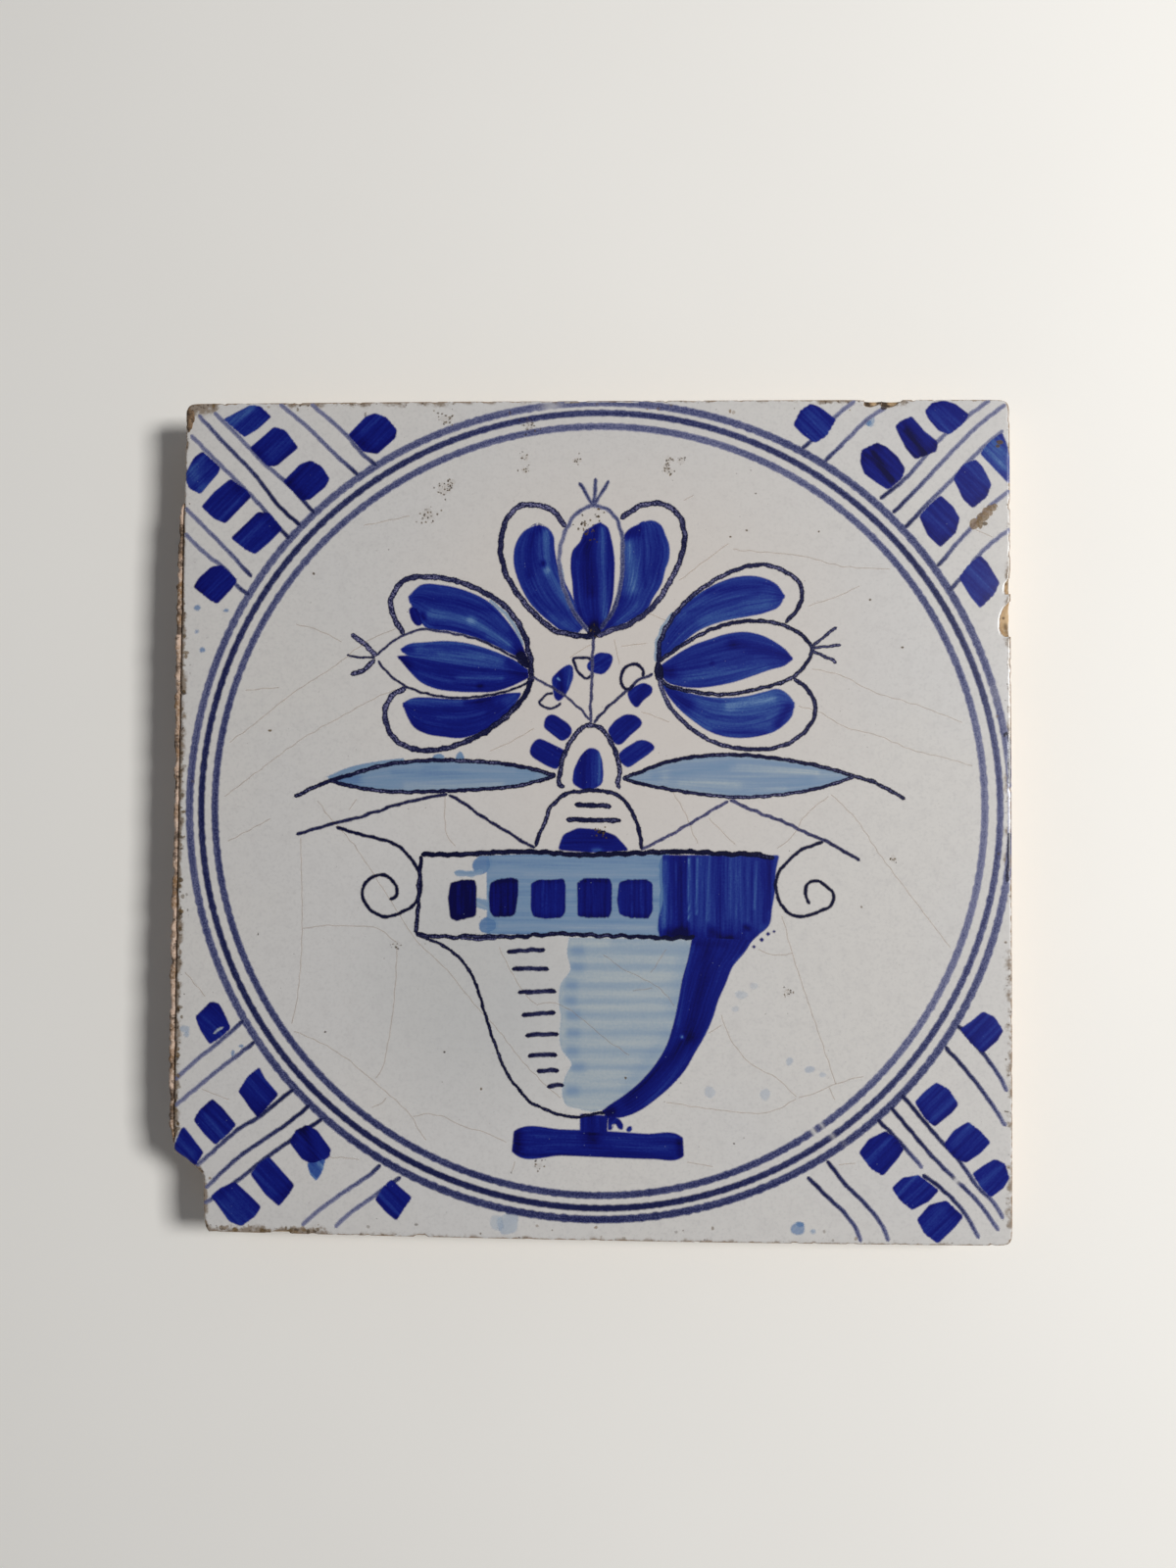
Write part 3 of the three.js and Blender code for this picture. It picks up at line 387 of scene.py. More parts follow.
for inset in GLAZE_INSETS:
    shrunk = reach * (1 - inset / HALF_WIDTH)
    x, y = shrunk * np.cos(angles), shrunk * np.sin(angles)
    rings.append(np.stack([x, y, face_height(x, y)], -1))
middle = face_height(np.zeros(1), np.zeros(1))[0]
poles = np.array([[0, 0, BISCUIT_Z], [0, 0, middle]])
glaze_points = np.concatenate(rings + [poles])
gaps = edge_gap(glaze_points[:, 0], glaze_points[:, 1])
gaps[-2:] = HALF_WIDTH
soil = tones_at(glaze_points[:, 0], glaze_points[:, 1], 0, SOIL)


def new_group(name, inputs, *outputs):
    """An empty group of shader nodes with named number sockets: the group, its inputs and outputs."""
    group = bpy.data.node_groups.new(name, "ShaderNodeTree")
    for label, value in inputs.items():
        socket = group.interface.new_socket(label, in_out="INPUT", socket_type="NodeSocketFloat")
        socket.default_value = value
    for label in outputs:
        group.interface.new_socket(label, in_out="OUTPUT", socket_type="NodeSocketFloat")
    start = group.nodes.new("NodeGroupInput")
    end = group.nodes.new("NodeGroupOutput")
    return group, start.outputs, end.inputs


# Glaze skin: faint orange peel and slow lumps, the same on bare glaze and over the painting
skin, given, wanted = new_group("glaze_skin", {"Amount": 1.0}, "Height")
here = node(skin, "TexCoord").outputs["Object"]
peel = cloud(skin, here, 1.6, 2)
lumps = cloud(skin, here, 9, 1)
both = calc(skin, "MULTIPLY_ADD", peel, 0.35, lumps)
skin.links.new(calc(skin, "MULTIPLY", both, given["Amount"]), wanted["Height"])


def glazed(tree, shader, amount=1.0):
    """Gives a shader the gloss and the skin of the glaze."""
    surface = node(tree, "Group", {"Amount": amount}, node_tree=skin)
    bump = node(tree, "Bump", {"Height": surface.outputs[0], "Strength": 0.5, "Distance": 0.00004})
    tree.links.new(bump.outputs[0], shader.inputs["Normal"])
    shader.inputs["Roughness"].default_value = 0.26
    shader.inputs["IOR"].default_value = 1.5


tin, tree, shader, where = new_material("tin_glaze_white")
gap = node(tree, "Attribute", attribute_name="edge").outputs["Fac"]
broad = cloud(tree, where, 30, 2)
fine = cloud(tree, where, 2.2, 3, 0.6)
colour = mixed(tree, between(tree, broad, 0.3, 0.7), ink(204, 203, 203), ink(207, 205, 203))
colour = mixed(tree, between(tree, fine, 0.42, 0.8, 0, 0.35), colour, ink(190, 188, 188))
grainy = cloud(tree, where, 0.5, 2, 0.6)
colour = mixed(tree, between(tree, grainy, 0.45, 0.75, 0, 0.3), colour, ink(178, 177, 178))
for place, size, tint, most in (
    ((0.006, 0.022, 0.009), 0.05, ink(209, 202, 197), 0.7),
    ((-0.016, -0.026, 0.009), 0.028, ink(170, 174, 177), 0.36),
):
    away = node(tree, "VectorMath", {0: where, 1: place}, operation="DISTANCE").outputs["Value"]
    colour = mixed(tree, between(tree, away, size, 0.2 * size, 0, most), colour, tint)
specks = node(tree, "TexVoronoi", {"Vector": where, "Scale": 1000 / 3.1})
chosen = node(tree, "SeparateColor", {0: specks.outputs["Color"]})
small = between(tree, specks.outputs["Distance"], 0.05, 0.025, 0, 1)
picked = between(tree, chosen.outputs[0], 0.82, 0.84, 0, 0.45)
colour = mixed(tree, calc(tree, "MULTIPLY", small, picked), colour, ink(110, 100, 90))
soiled = node(tree, "Attribute", attribute_name="soil").outputs["Fac"]
blotches = calc(tree, "MULTIPLY_ADD", soiled, 0.3, cloud(tree, where, 2.4, 4, 0.65))
blotches = calc(tree, "MULTIPLY", between(tree, blotches, 0.58, 0.76), between(tree, soiled, 0.05, 0.4))
colour = mixed(tree, calc(tree, "MULTIPLY", blotches, 0.8), colour, ink(120, 101, 80))
crumbs = calc(tree, "MULTIPLY_ADD", soiled, 0.2, cloud(tree, where, 0.6, 3, 0.6))
colour = mixed(tree, between(tree, crumbs, 0.71, 0.8, 0, 0.75), colour, ink(66, 54, 46))
rim_noise = calc(tree, "MULTIPLY_ADD", cloud(tree, where, 1.1, 3, 0.6), 0.9, -0.28)
rim = between(tree, calc(tree, "SUBTRACT", gap, rim_noise), 0.14, -0.05, 0, 0.85)
colour = mixed(tree, rim, colour, ink(134, 108, 80))
tree.links.new(colour, shader.inputs["Base Color"])
glazed(tree, shader)

glaze = make_piece("glaze", glaze_points, ring_faces(len(rings), ROUND), tin, edge=gaps, soil=soil)
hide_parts("tin_glaze")


# Remains of the wall: lime mortar that still clings to the left side, squeezed out between two tiles
# and broken off, and a brown lump of it on the face at the top left corner.
MORTAR_FOOT = 1.2
MORTAR_CREST = FACE_Z - 0.35
MORTAR_ENDS = (-51.5, 49.4)
MORTAR_REACHES = [  # place along the side, reach from the side
    (-51.5, 0.4), (-49, 0.95), (-40, 1.25), (-30, 1.3), (-14, 1.35), (2, 1.15), (20, 1.35), (36, 1.25),
    (45, 1.05), (48.4, 0.8), (49.4, 0.3),
]
MORTAR_PROFILE = [  # share of the reach, share of the height
    (-0.1, 0.0), (0.2, 0.0), (0.62, 0.12), (0.86, 0.35), (0.98, 0.6), (1.02, 0.8), (1.0, 0.93),
    (0.9, 0.985), (0.6, 1.0), (0.34, 0.985), (0.16, 0.9), (-0.1, 0.86),
]
MORTAR_STEPS = 420
MORTAR_TOP, MORTAR_LIMIT = FACE_Z - 0.12, -HALF_WIDTH - 1.17  # its highest z and its farthest x
along = np.linspace(*MORTAR_ENDS, MORTAR_STEPS)
stations = np.array(MORTAR_REACHES)
reaches = np.interp(along, stations[:, 0], stations[:, 1])
reaches *= 1 + relief(along[:, None], (0.1, 6, 21), (0.06, 1.9, 22))
profile = np.array(MORTAR_PROFILE)
rise = MORTAR_FOOT + profile[:, 1] * (MORTAR_CREST - MORTAR_FOOT)
wall = HALF_WIDTH - 0.2 - SIDE_TAPER * (1 - rise / BISCUIT_Z)
out = np.where(profile[:, 0] < 0, -0.15, profile[:, 0])
x = -(wall + out * reaches[:, None])
mortar_points = np.stack([x, *np.broadcast_arrays(along[:, None], rise)], -1)
lumpy = relief(mortar_points, (0.07, 3, 23), (0.05, 1.1, 24))
outer = profile[:, 0] > 0
mortar_points[..., 0] -= np.where(outer, lumpy, 0)
mortar_points[..., 2] += np.where(outer, 0.8 * lumpy - 0.08, 0)
mortar_points[..., 2] = np.minimum(mortar_points[..., 2], MORTAR_TOP)
mortar_points[..., 0] = np.maximum(mortar_points[..., 0], MORTAR_LIMIT)
ends = np.array([mortar_points[0].mean(0), mortar_points[-1].mean(0)])
mortar_points = np.concatenate([mortar_points.reshape(-1, 3), ends])

lime, tree, shader, where = new_material("lime_mortar")
patch = cloud(tree, where, 3.5, 4, 0.65)
grains = cloud(tree, where, 0.45, 3, 0.7)
colour = mixed(tree, between(tree, patch, 0.35, 0.62), ink(136, 106, 76), ink(210, 184, 166))
colour = mixed(tree, between(tree, grains, 0.45, 0.72, 0, 0.7), colour, ink(226, 208, 194))
dirt = between(tree, cloud(tree, where, 1.6, 4, 0.7), 0.49, 0.62, 0, 0.85)
colour = mixed(tree, dirt, colour, ink(70, 56, 46))
dry_finish(tree, shader, colour, 0.95, 0.2, grains)
mortar = make_piece("mortar_strip", mortar_points, ring_faces(MORTAR_STEPS, len(profile)), lime)
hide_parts("mortar_left_side")

LUMP_PLACE = (-64.15, 62.8)
LUMP_HALF = (0.66, 1.9)  # half of its width and of its length
LUMP_HEIGHT = 0.34
LUMP_ROUND = 72  # points round each ring
turns = np.linspace(0, 2 * math.pi, LUMP_ROUND, endpoint=False)
lump_rings = []
for share in (1.0, 0.96, 0.88, 0.76, 0.6, 0.42, 0.22):
    wavy = 1 + 0.14 * np.sin(3 * turns + 0.7) + 0.08 * np.sin(7 * turns + 2)
    x = LUMP_PLACE[0] + share * wavy * LUMP_HALF[0] * np.cos(turns)
    y = LUMP_PLACE[1] + share * wavy * LUMP_HALF[1] * np.sin(turns)
    ring = np.stack([x, y, np.zeros(LUMP_ROUND)], -1)
    dome = LUMP_HEIGHT * np.sqrt(np.maximum(1 - share**2, 0)) - 0.12 * (share == 1.0)
    dome *= 1 + relief(ring, (0.3, 0.9, 31))
    ring[:, 2] = np.minimum(face_height(x, y) + 0.1, FACE_Z) - 0.1 + dome
    lump_rings.append(ring)
peak = lump_rings[-1].mean(0) + [0, 0, 0.02]
foot = lump_rings[0].mean(0) * [1, 1, 0] + [0, 0, FACE_Z - 0.2]
lump_points = np.concatenate(lump_rings + [np.array([foot, peak])])

crust, tree, shader, where = new_material("brown_crust")
patch = cloud(tree, where, 0.9, 4, 0.65)
colour = mixed(tree, between(tree, patch, 0.35, 0.65), ink(62, 47, 36), ink(128, 104, 80))
dry_finish(tree, shader, colour, 0.95, 0.5, patch, 0.9)
lump = make_piece("mortar_lump", lump_points, ring_faces(len(lump_rings), LUMP_ROUND), crust)
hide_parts("mortar_top_left_corner")


# The painting is cobalt laid on the raw glaze with a brush and fired with it, so it lies in the face as
# flat films with granular edges. Each stroke is a ribbon and each filled shape a sheet that follows the
# glaze a few hundredths of a millimetre above it. First the three rings, painted on a turning wheel.
WASH_LIFT, RING_LIFT, FILL_LIFT = 0.014, 0.024, 0.036  # mm above the glaze
CRACK_LIFT, LINE_LIFT, SPECK_LIFT = 0.05, 0.056, 0.084
STROKE_LIFT = 0.0004  # mm from each stroke to the next
CROWN, SWELL = 0.01, 0.006  # mm by which the middle of a stroke, or of a filled shape, is thicker
STEP = 0.3  # mm between the cross lines of a ribbon
ROUND_END, TIP = 0.75, 0.2  # length of a stroke's round end and width at its tip, as shares of its width
FRINGE = 0.14  # mm by which a film reaches past its nominal edge, where it fades out
hand = np.random.default_rng(1740)
stroke_numbers = itertools.count(1)


def travel(line):
    """The distance from the start of a line to each of its points."""
    return np.concatenate([[0], np.cumsum(np.hypot(*np.diff(line, axis=0).T))])


def leftward(line):
    """The direction to the left of a line at each of its points, at right angles to it."""
    heading = np.gradient(line, axis=0)
    heading /= np.maximum(np.hypot(*heading.T), 1e-6)[:, None]
    return np.stack([-heading[:, 1], heading[:, 0]], -1)


def curve(points, step=STEP, closed=False):
    """A smooth line through points given as x, y, x, y: each stretch is a cubic whose end slopes are
    those of the line from the point before to the point after. Returns evenly spaced places on it."""
    knots = np.array(points, float).reshape(-1, 2)
    if closed:
        knots = np.concatenate([knots[-3:], knots, knots[:4]])
    travelled = travel(knots)
    slopes = np.gradient(knots, travelled, axis=0)
    begin, stop = (travelled[3], travelled[-4]) if closed else (0, travelled[-1])
    count = max(int((stop - begin) / step), 4) + 1
    place = np.linspace(begin, stop, count)
    left = np.clip(np.searchsorted(travelled, place, side="right") - 1, 0, len(knots) - 2)
    span = (travelled[left + 1] - travelled[left])[:, None]
    t = (place - travelled[left])[:, None] / span
    return (
        (2 * t**3 - 3 * t**2 + 1) * knots[left] + (t**3 - 2 * t**2 + t) * span * slopes[left]
        + (3 * t**2 - 2 * t**3) * knots[left + 1] + (t**3 - t**2) * span * slopes[left + 1]
    )


def wander(along, size):
    """A slow drift from about -1 to 1 along a stroke: six sine waves of about the size given."""
    waves = hand.uniform(0.6, 1.6, (6, 1)) * 2 * math.pi / size
    return np.sin(waves * along + hand.uniform(0, 2 * math.pi, (6, 1))).sum(0) / 2.4


def on_face(x, y, lift):
    """Points on the glaze, raised by lift and held back from its edge."""
    angle, far = np.arctan2(y, x), np.hypot(x, y)
    limit = edge_radius(angle) - 0.1 / squareness(angle)
    held = np.minimum(far, limit)
    x, y = held * np.cos(angle), held * np.sin(angle)
    return np.stack([x, y, face_height(x, y) + lift], -1)


def next_lift(lift):
    """Each stroke lies a trace above the one before it, as it was painted over it."""
    return lift + STROKE_LIFT * (next(stroke_numbers) % 20)


def sheet_faces(rows, columns):
    """Quads of an open grid of rows by columns."""
    row, column = np.meshgrid(np.arange(rows - 1), np.arange(columns - 1), indexing="ij")
    corner = row * columns + column
    quads = np.stack([corner, corner + columns, corner + columns + 1, corner + 1], -1)
    return quads.reshape(-1, 4).tolist()


def facing_up(points, faces):
    """The faces, turned over if most of them look down."""
    a, b, c = (points[[face[k] for face in faces], :2] for k in (0, 1, 2))
    (ux, uy), (vx, vy) = (b - a).T, (c - a).T
    return faces if (ux * vy - uy * vx).sum() > 0 else [face[::-1] for face in faces]


def stroke(points, width, tone=0.5, lift=LINE_LIFT, closed=False, tremble=0.05, gaps=(), steady=0.07):
    """One brush stroke: a ribbon of varying width on a smooth line, round at its ends. It keeps the
    distance to its edge, its tone and its strength at each point, and a map of along and across.
    Tremble is how far the line shakes sideways in mm, steady the share by which its width changes,
    and a gap is a worn place: x, y, size and how much of the paint is lost."""
    path = curve(points, STEP, closed)
    along, sideways = travel(path), leftward(path)
    if not closed:
        path = path + sideways * (tremble * wander(along, 3))[:, None]
    across = np.array([-1, -0.6, 0, 0.6, 1])
    half = width / 2 * (1 + steady * wander(along, 2.4)) + FRINGE
    right, left = (0.5 * steady * width * wander(along, 1.7)[:, None] for _ in range(2))
    halves = half[:, None] + np.where(across < 0, right, left)
    if not closed:
        for away in (along, along[-1] - along):
            part = np.clip(away / (ROUND_END * width), 0, 1)
            halves = halves * np.sqrt(np.maximum(1 - (1 - part) ** 2, TIP**2))[:, None]
    spots = path[:, None, :] + sideways[:, None, :] * (halves * across)[..., None]
    inside = halves * (1 - np.abs(across))
    share = along / along[-1]
    tones = np.interp(share, np.linspace(0, 1, np.size(tone)), np.atleast_1d(tone))
    strength = np.ones(len(path))
    for x, y, size, loss in gaps:
        strength -= loss * np.exp(-((path[:, 0] - x) ** 2 + (path[:, 1] - y) ** 2) / size**2)
    paint = np.stack(np.broadcast_arrays(inside, tones[:, None], strength[:, None]), -1)
    chart = np.stack(np.broadcast_arrays(along[:, None], halves * across), -1)
    raised = next_lift(lift) + CROWN * (1 - across**2)
    solid = on_face(spots[..., 0], spots[..., 1], raised).reshape(-1, 3)
    faces = facing_up(solid, sheet_faces(len(path), len(across)))
    return solid, faces, chart.reshape(-1, 2), paint.reshape(-1, 3)


def put_down(name, slot_name, material, deposits, *nodes):
    """Joins deposits of one paint into one piece, which stands for the nodes named."""
    points, charts, paints = (np.concatenate([d[k] for d in deposits]) for k in (0, 2, 3))
    starts = np.cumsum([0] + [len(deposit[0]) for deposit in deposits]).tolist()
    faces = [
        [corner + start for corner in face]
        for start, deposit in zip(starts, deposits) for face in deposit[1]
    ]
    piece = make_piece(name, points, faces, material, paint=paints)
    corners = np.empty(len(piece.data.loops), int)
    piece.data.loops.foreach_get("vertex_index", corners)
    layer = piece.data.uv_layers.new(name="brush")
    layer.uv.foreach_set("vector", charts[corners].astype(np.float32).ravel())
    piece.visible_shadow = False
    if nodes:
        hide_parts(*nodes)


# Granular edge: how far paint covers the glaze near its edge, broken up by the grain of the pigment
edge_grain, given, wanted = new_group(
    "granular_edge", {"Distance": 1.0, "Ragged": 0.1, "Soft": 0.1}, "Cover"
)
here = node(edge_grain, "TexCoord").outputs["Object"]
coarse = calc(edge_grain, "SUBTRACT", cloud(edge_grain, here, 0.26, 2), 0.5)
reach = calc(edge_grain, "MULTIPLY_ADD", coarse, given["Ragged"], given["Distance"])
ready = calc(edge_grain, "DIVIDE", calc(edge_grain, "SUBTRACT", reach, FRINGE), given["Soft"])
ready = calc(edge_grain, "ADD", ready, 0.5)
edge_grain.links.new(between(edge_grain, ready, 0.0, 1.0), wanted["Cover"])

# Brush streaks: long thin bands along the stroke, from -1 to 1, with a few finer hair lines in them
streaks, given, wanted = new_group(
    "brush_streaks", {"Along": 0.0, "Across": 0.0, "Length": 14.0, "Breadth": 0.7}, "Streak"
)
u = calc(streaks, "DIVIDE", given["Along"], given["Length"])
v = calc(streaks, "DIVIDE", given["Across"], given["Breadth"])
chart = node(streaks, "CombineXYZ", {0: u, 1: v}).outputs[0]
band = node(streaks, "TexNoise", {"Vector": chart, "Scale": 1.0, "Detail": 3.0, "Roughness": 0.6})
streaks.links.new(between(streaks, band.outputs[0], 0.25, 0.75, -1, 1), wanted["Streak"])


def shades(tree, value, *stops):
    """A colour scale: each stop is a place from 0 to 1 and the colour there."""
    ramp = node(tree, "ValToRGB", {0: value})
    for _ in stops[2:]:
        ramp.color_ramp.elements.new(0.5)
    for element, (place, colour) in zip(ramp.color_ramp.elements, stops):
        element.position = place
        element.color = colour
    return ramp.outputs[0]


def paint_material(name, stops, streak=0.2, grain=0.15, grain_size=0.35, pool=0.15, ragged=0.12,
                   soft=0.12, cover=1.0, beads=0.0, breadth=0.7, length=14.0, pits=0.0):
    """Fired paint: the tone kept in the mesh, changed by streaks, grain, pooling at the edge and
    light beads in the core of a rope-like line, looked up on a scale of colours. At its edge it is
    ragged by some mm and fades over soft mm, and pits are small pale pits of the strength given."""
    material, tree, shader, where = new_material(name)
    paint = node(tree, "Attribute", attribute_name="paint").outputs["Vector"]
    kept = node(tree, "SeparateXYZ", {0: paint}).outputs
    tone = kept["Y"]
    if streak:
        chart = node(tree, "SeparateXYZ", {0: node(tree, "UVMap", uv_map="brush").outputs[0]}).outputs
        sizes = {"Along": chart["X"], "Across": chart["Y"], "Length": length, "Breadth": breadth}
        lines = node(tree, "Group", sizes, node_tree=streaks).outputs[0]
        tone = calc(tree, "MULTIPLY_ADD", lines, streak, tone)
    specks = calc(tree, "SUBTRACT", cloud(tree, where, grain_size, 2, 0.6), 0.5)
    tone = calc(tree, "MULTIPLY_ADD", specks, 2 * grain, tone)
    tone = calc(tree, "SUBTRACT", tone, between(tree, kept["X"], 0.55, 0.1, 0, pool))
    if beads:
        foam = between(tree, cloud(tree, where, 0.24, 2, 0.6), 0.38, 0.6)
        foam = calc(tree, "MULTIPLY", foam, between(tree, cloud(tree, where, 6), 0.36, 0.6, 0.25, 1))
        core = calc(tree, "MULTIPLY", foam, between(tree, kept["X"], FRINGE + 0.1, FRINGE + 0.26))
        tone = calc(tree, "MULTIPLY_ADD", core, beads, tone)
    colour = shades(tree, tone, *stops)
    if pits:
        bubbles = node(tree, "TexVoronoi", {"Vector": where, "Scale": 1000 / 0.9})
        lot = node(tree, "SeparateColor", {0: bubbles.outputs["Color"]}).outputs[0]
        small = between(tree, bubbles.outputs["Distance"], 0.12, 0.05)
        dot = calc(tree, "MULTIPLY", small, between(tree, lot, 0.8, 0.82, 0, pits))
        colour = mixed(tree, dot, colour, ink(150, 166, 200))
    tree.links.new(colour, shader.inputs["Base Color"])
    sizes = {"Distance": kept["X"], "Ragged": ragged, "Soft": soft}
    rim = node(tree, "Group", sizes, node_tree=edge_grain).outputs[0]
    full = calc(tree, "MULTIPLY", calc(tree, "MULTIPLY", rim, kept["Z"]), cover)
    tree.links.new(full, shader.inputs["Alpha"])
    glazed(tree, shader)
    return material


VIOLET = (  # a scale of colours for tones from 0, dark, to 1, pale
    (0.0, ink(21, 26, 70)), (0.33, ink(50, 55, 98)), (0.6, ink(78, 83, 122)), (1.0, ink(118, 121, 151)),
)
ring_paint = paint_material(
    "violet_grey_line", VIOLET, streak=0.14, grain=0.8, grain_size=0.2, pool=-0.2, ragged=0.18,
    soft=0.38, length=9, breadth=0.45,
)
RING_CENTRE = (0.4, 1.4)
RINGS = {  # node, width, radii every 30 degrees from the right, tones all round, worn places
    "outer_ring_line": (
        "outer_ring_and_corners", 1.2,
        [64.6, 64.6, 64.5, 63.6, 64.0, 63.9, 63.7, 63.8, 63.9, 63.5, 64.3, 64.7],
        [0.72, 0.52, 0.5, 0.74, 0.62, 0.62, 0.56, 0.54, 0.3, 0.22, 0.34, 0.5, 0.72],
        [(-6.6, 64.6, 1.6, 0.55), (39.6, -50.4, 0.4, 0.7), (64.6, 20, 2, 0.6)],
    ),
    "middle_ring_line": (
        "middle_ring", 1.05,
        [62.8, 62.7, 62.5, 62.0, 62.1, 62.0, 61.8, 61.9, 61.9, 61.8, 62.4, 62.6],
        [0.52, 0.1, 0.26, 0.36, 0.2, 0.14, 0.04, 0.08, 0.0, -0.1, 0.2, 0.4, 0.52],
        [(37.4, -48.7, 0.35, 0.6)],
    ),
    "inner_ring_line": (
        "inner_ring", 1.12,
        [60.4, 60.5, 60.3, 59.9, 59.8, 59.8, 59.6, 59.6, 59.7, 59.9, 60.2, 60.3],
        [0.84, 0.5, 0.7, 0.7, 0.58, 0.58, 0.38, 0.42, 0.33, 0.3, 0.42, 0.84, 0.84],
        [(34.6, -48.2, 0.35, 0.9), (36, -47.4, 0.3, 0.8)],
    ),
}


def ring_line(radii):
    """A ring painted on the wheel that runs a little out of true: the radius is a sum of the first
    five waves round the circle, fitted to the radii given."""
    waves = np.fft.rfft(radii) / len(radii)
    turn = np.linspace(0, 2 * math.pi, 720, endpoint=False)
    radius = waves[0].real
    for order in (1, 2, 3, 4, 5):
        radius = radius + 2 * (waves[order] * np.exp(1j * order * turn)).real
    return RING_CENTRE + radius[:, None] * np.stack([np.cos(turn), np.sin(turn)], -1)


for ring_name, (node_name, width, radii, tones, worn) in RINGS.items():
    ring = stroke(ring_line(radii), width, tones, RING_LIFT, closed=True, gaps=worn, steady=0.05)
    put_down(ring_name, "ring_paint", ring_paint, [ring], node_name)


# The corners: bands of straight lines ruled from the edge to the outer ring, crossing at the corner,
# and square blocks of strong blue set between them with a full flat brush, one touch each.
CORNER_LINES = [
    [-44.9, 65.2, -39, 60, -36.4, 57, -34.1, 55.1], [-49.9, 65.2, -45.3, 61.4, -40.8, 57, -37.1, 53.7],
    [-60.4, 63.9, -56.4, 60, -51.6, 55.1, -48.6, 52.6, -44, 47.6],
    [-62.9, 63.5, -58.6, 58.9, -53.8, 54, -49, 48.1, -46.2, 45.7],
    [-64.1, 60.3, -60.4, 56.6, -56.4, 52.7, -52.3, 48.5, -49.7, 45.5, -47.9, 43.5],
    [-64.9, 48.7, -61.2, 45.1, -57.5, 41.4, -53.8, 37.4],
    [-64.9, 44.6, -61.2, 41.1, -57.5, 38.1, -56.4, 36.3, -54.1, 34.6],
    [41, 65.3, 37.6, 62.4, 35.4, 60, 32.6, 57.6], [45.8, 64.2, 42.8, 62.2, 40.2, 59.6, 36.1, 55.5],
    [61.9, 65.3, 58.7, 62.9, 53.9, 58.9, 51, 55.5, 49.5, 53.7, 44.7, 49.6],
    [64.3, 64.6, 60.2, 61.4, 55.8, 57, 51, 51.8, 46.7, 47.4],
    [63.9, 60.5, 59.9, 57, 56.1, 52.9, 52.1, 48.9, 48.6, 45.1],
    [64.9, 51.1, 61.3, 48.1, 59.1, 45.5, 56.5, 42.6, 53.6, 39],
    [65, 45.1, 62.1, 42.9, 60.2, 41.1, 57.6, 37.7, 55.4, 35.3],
    [-65, -41.8, -61.4, -38.5, -57.7, -35.5, -54, -32.2],
    [-65, -45.9, -61.4, -42.9, -57.7, -39.8, -54.8, -37.6, -52.2, -35.5],
    [-61.3, -55.1, -58.1, -52.2, -54.4, -49, -51.4, -47.2, -48.5, -44.8, -45.9, -42.7],
    [-59.8, -58.5, -57.7, -56.4, -54.8, -53.7, -50.3, -50.5, -46.6, -47.9, -43.3, -45.1],
    [-60, -60.9, -56.6, -58.5, -54, -56.6, -51.1, -54.2, -46.3, -50.7, -41.4, -47.3],
    [-44.6, -64, -42.9, -62.4, -40, -60.1, -36.6, -57.7, -33.7, -55.7, -32.2, -54.2],
    [-39.4, -64.2, -37.4, -62.2, -34.4, -60, -31.8, -58.1, -29, -56.1],
    [64.1, -41.8, 63.5, -40.5, 60.7, -36.3, 57.8, -32.9, 56.5, -31.6],
    [63.9, -47, 60.7, -42.2, 57.8, -38.5, 54.6, -34.9],
    [63.5, -61.1, 62.2, -58.9, 59.3, -55.9, 56.7, -52.2, 53.7, -49, 50.7, -45.5, 48, -42.3],
    [62.8, -62.9, 59.6, -58.5, 55.7, -54.7, 52.6, -51.6, 49.6, -48.1, 46.3, -44.2],
    [51.3, -53.6, 48.1, -50, 44.3, -46.1], [59.8, -64.1, 57.4, -60, 54.1, -56.6, 51.1, -54.4],
    [46.1, -64.8, 45.2, -62.6, 42.6, -59.2, 39.6, -56.3, 36.6, -52.5],
    [41.9, -65, 41.1, -62.9, 39.3, -60.5, 36.3, -57.7, 33.6, -55],
]
DARK_LINES = (3, 16, 17, 18, 21, 22, 23, 24, 25, 26, 27, 28)
DARK_TONES = (0.75, 0.46, 0.28, 0.12, -0.05, -0.15)
PALE_TONES = (0.95, 0.88, 0.8, 0.68, 0.48, 0.0)
put_down("corner_lines", "ring_paint", ring_paint, [
    stroke(line, 0.68, DARK_TONES if number in DARK_LINES else PALE_TONES, RING_LIFT, tremble=0.03,
           steady=0.04, gaps=[(56.3, -55.3, 0.5, 0.9)])
    for number, line in enumerate(CORNER_LINES)
], "outer_ring_and_corners")


def nearest(x, y, line):
    """Distance from each place to the nearest point of a closely spaced line."""
    far = (x.ravel()[:, None] - line[:, 0]) ** 2 + (y.ravel()[:, None] - line[:, 1]) ** 2
    return np.sqrt(far.min(1)).reshape(x.shape)


def places_on(line, travelled, place):
    """Places at the distances given on a line of straight stretches."""
    return np.stack([np.interp(place, travelled, line[:, k]) for k in (0, 1)], -1)


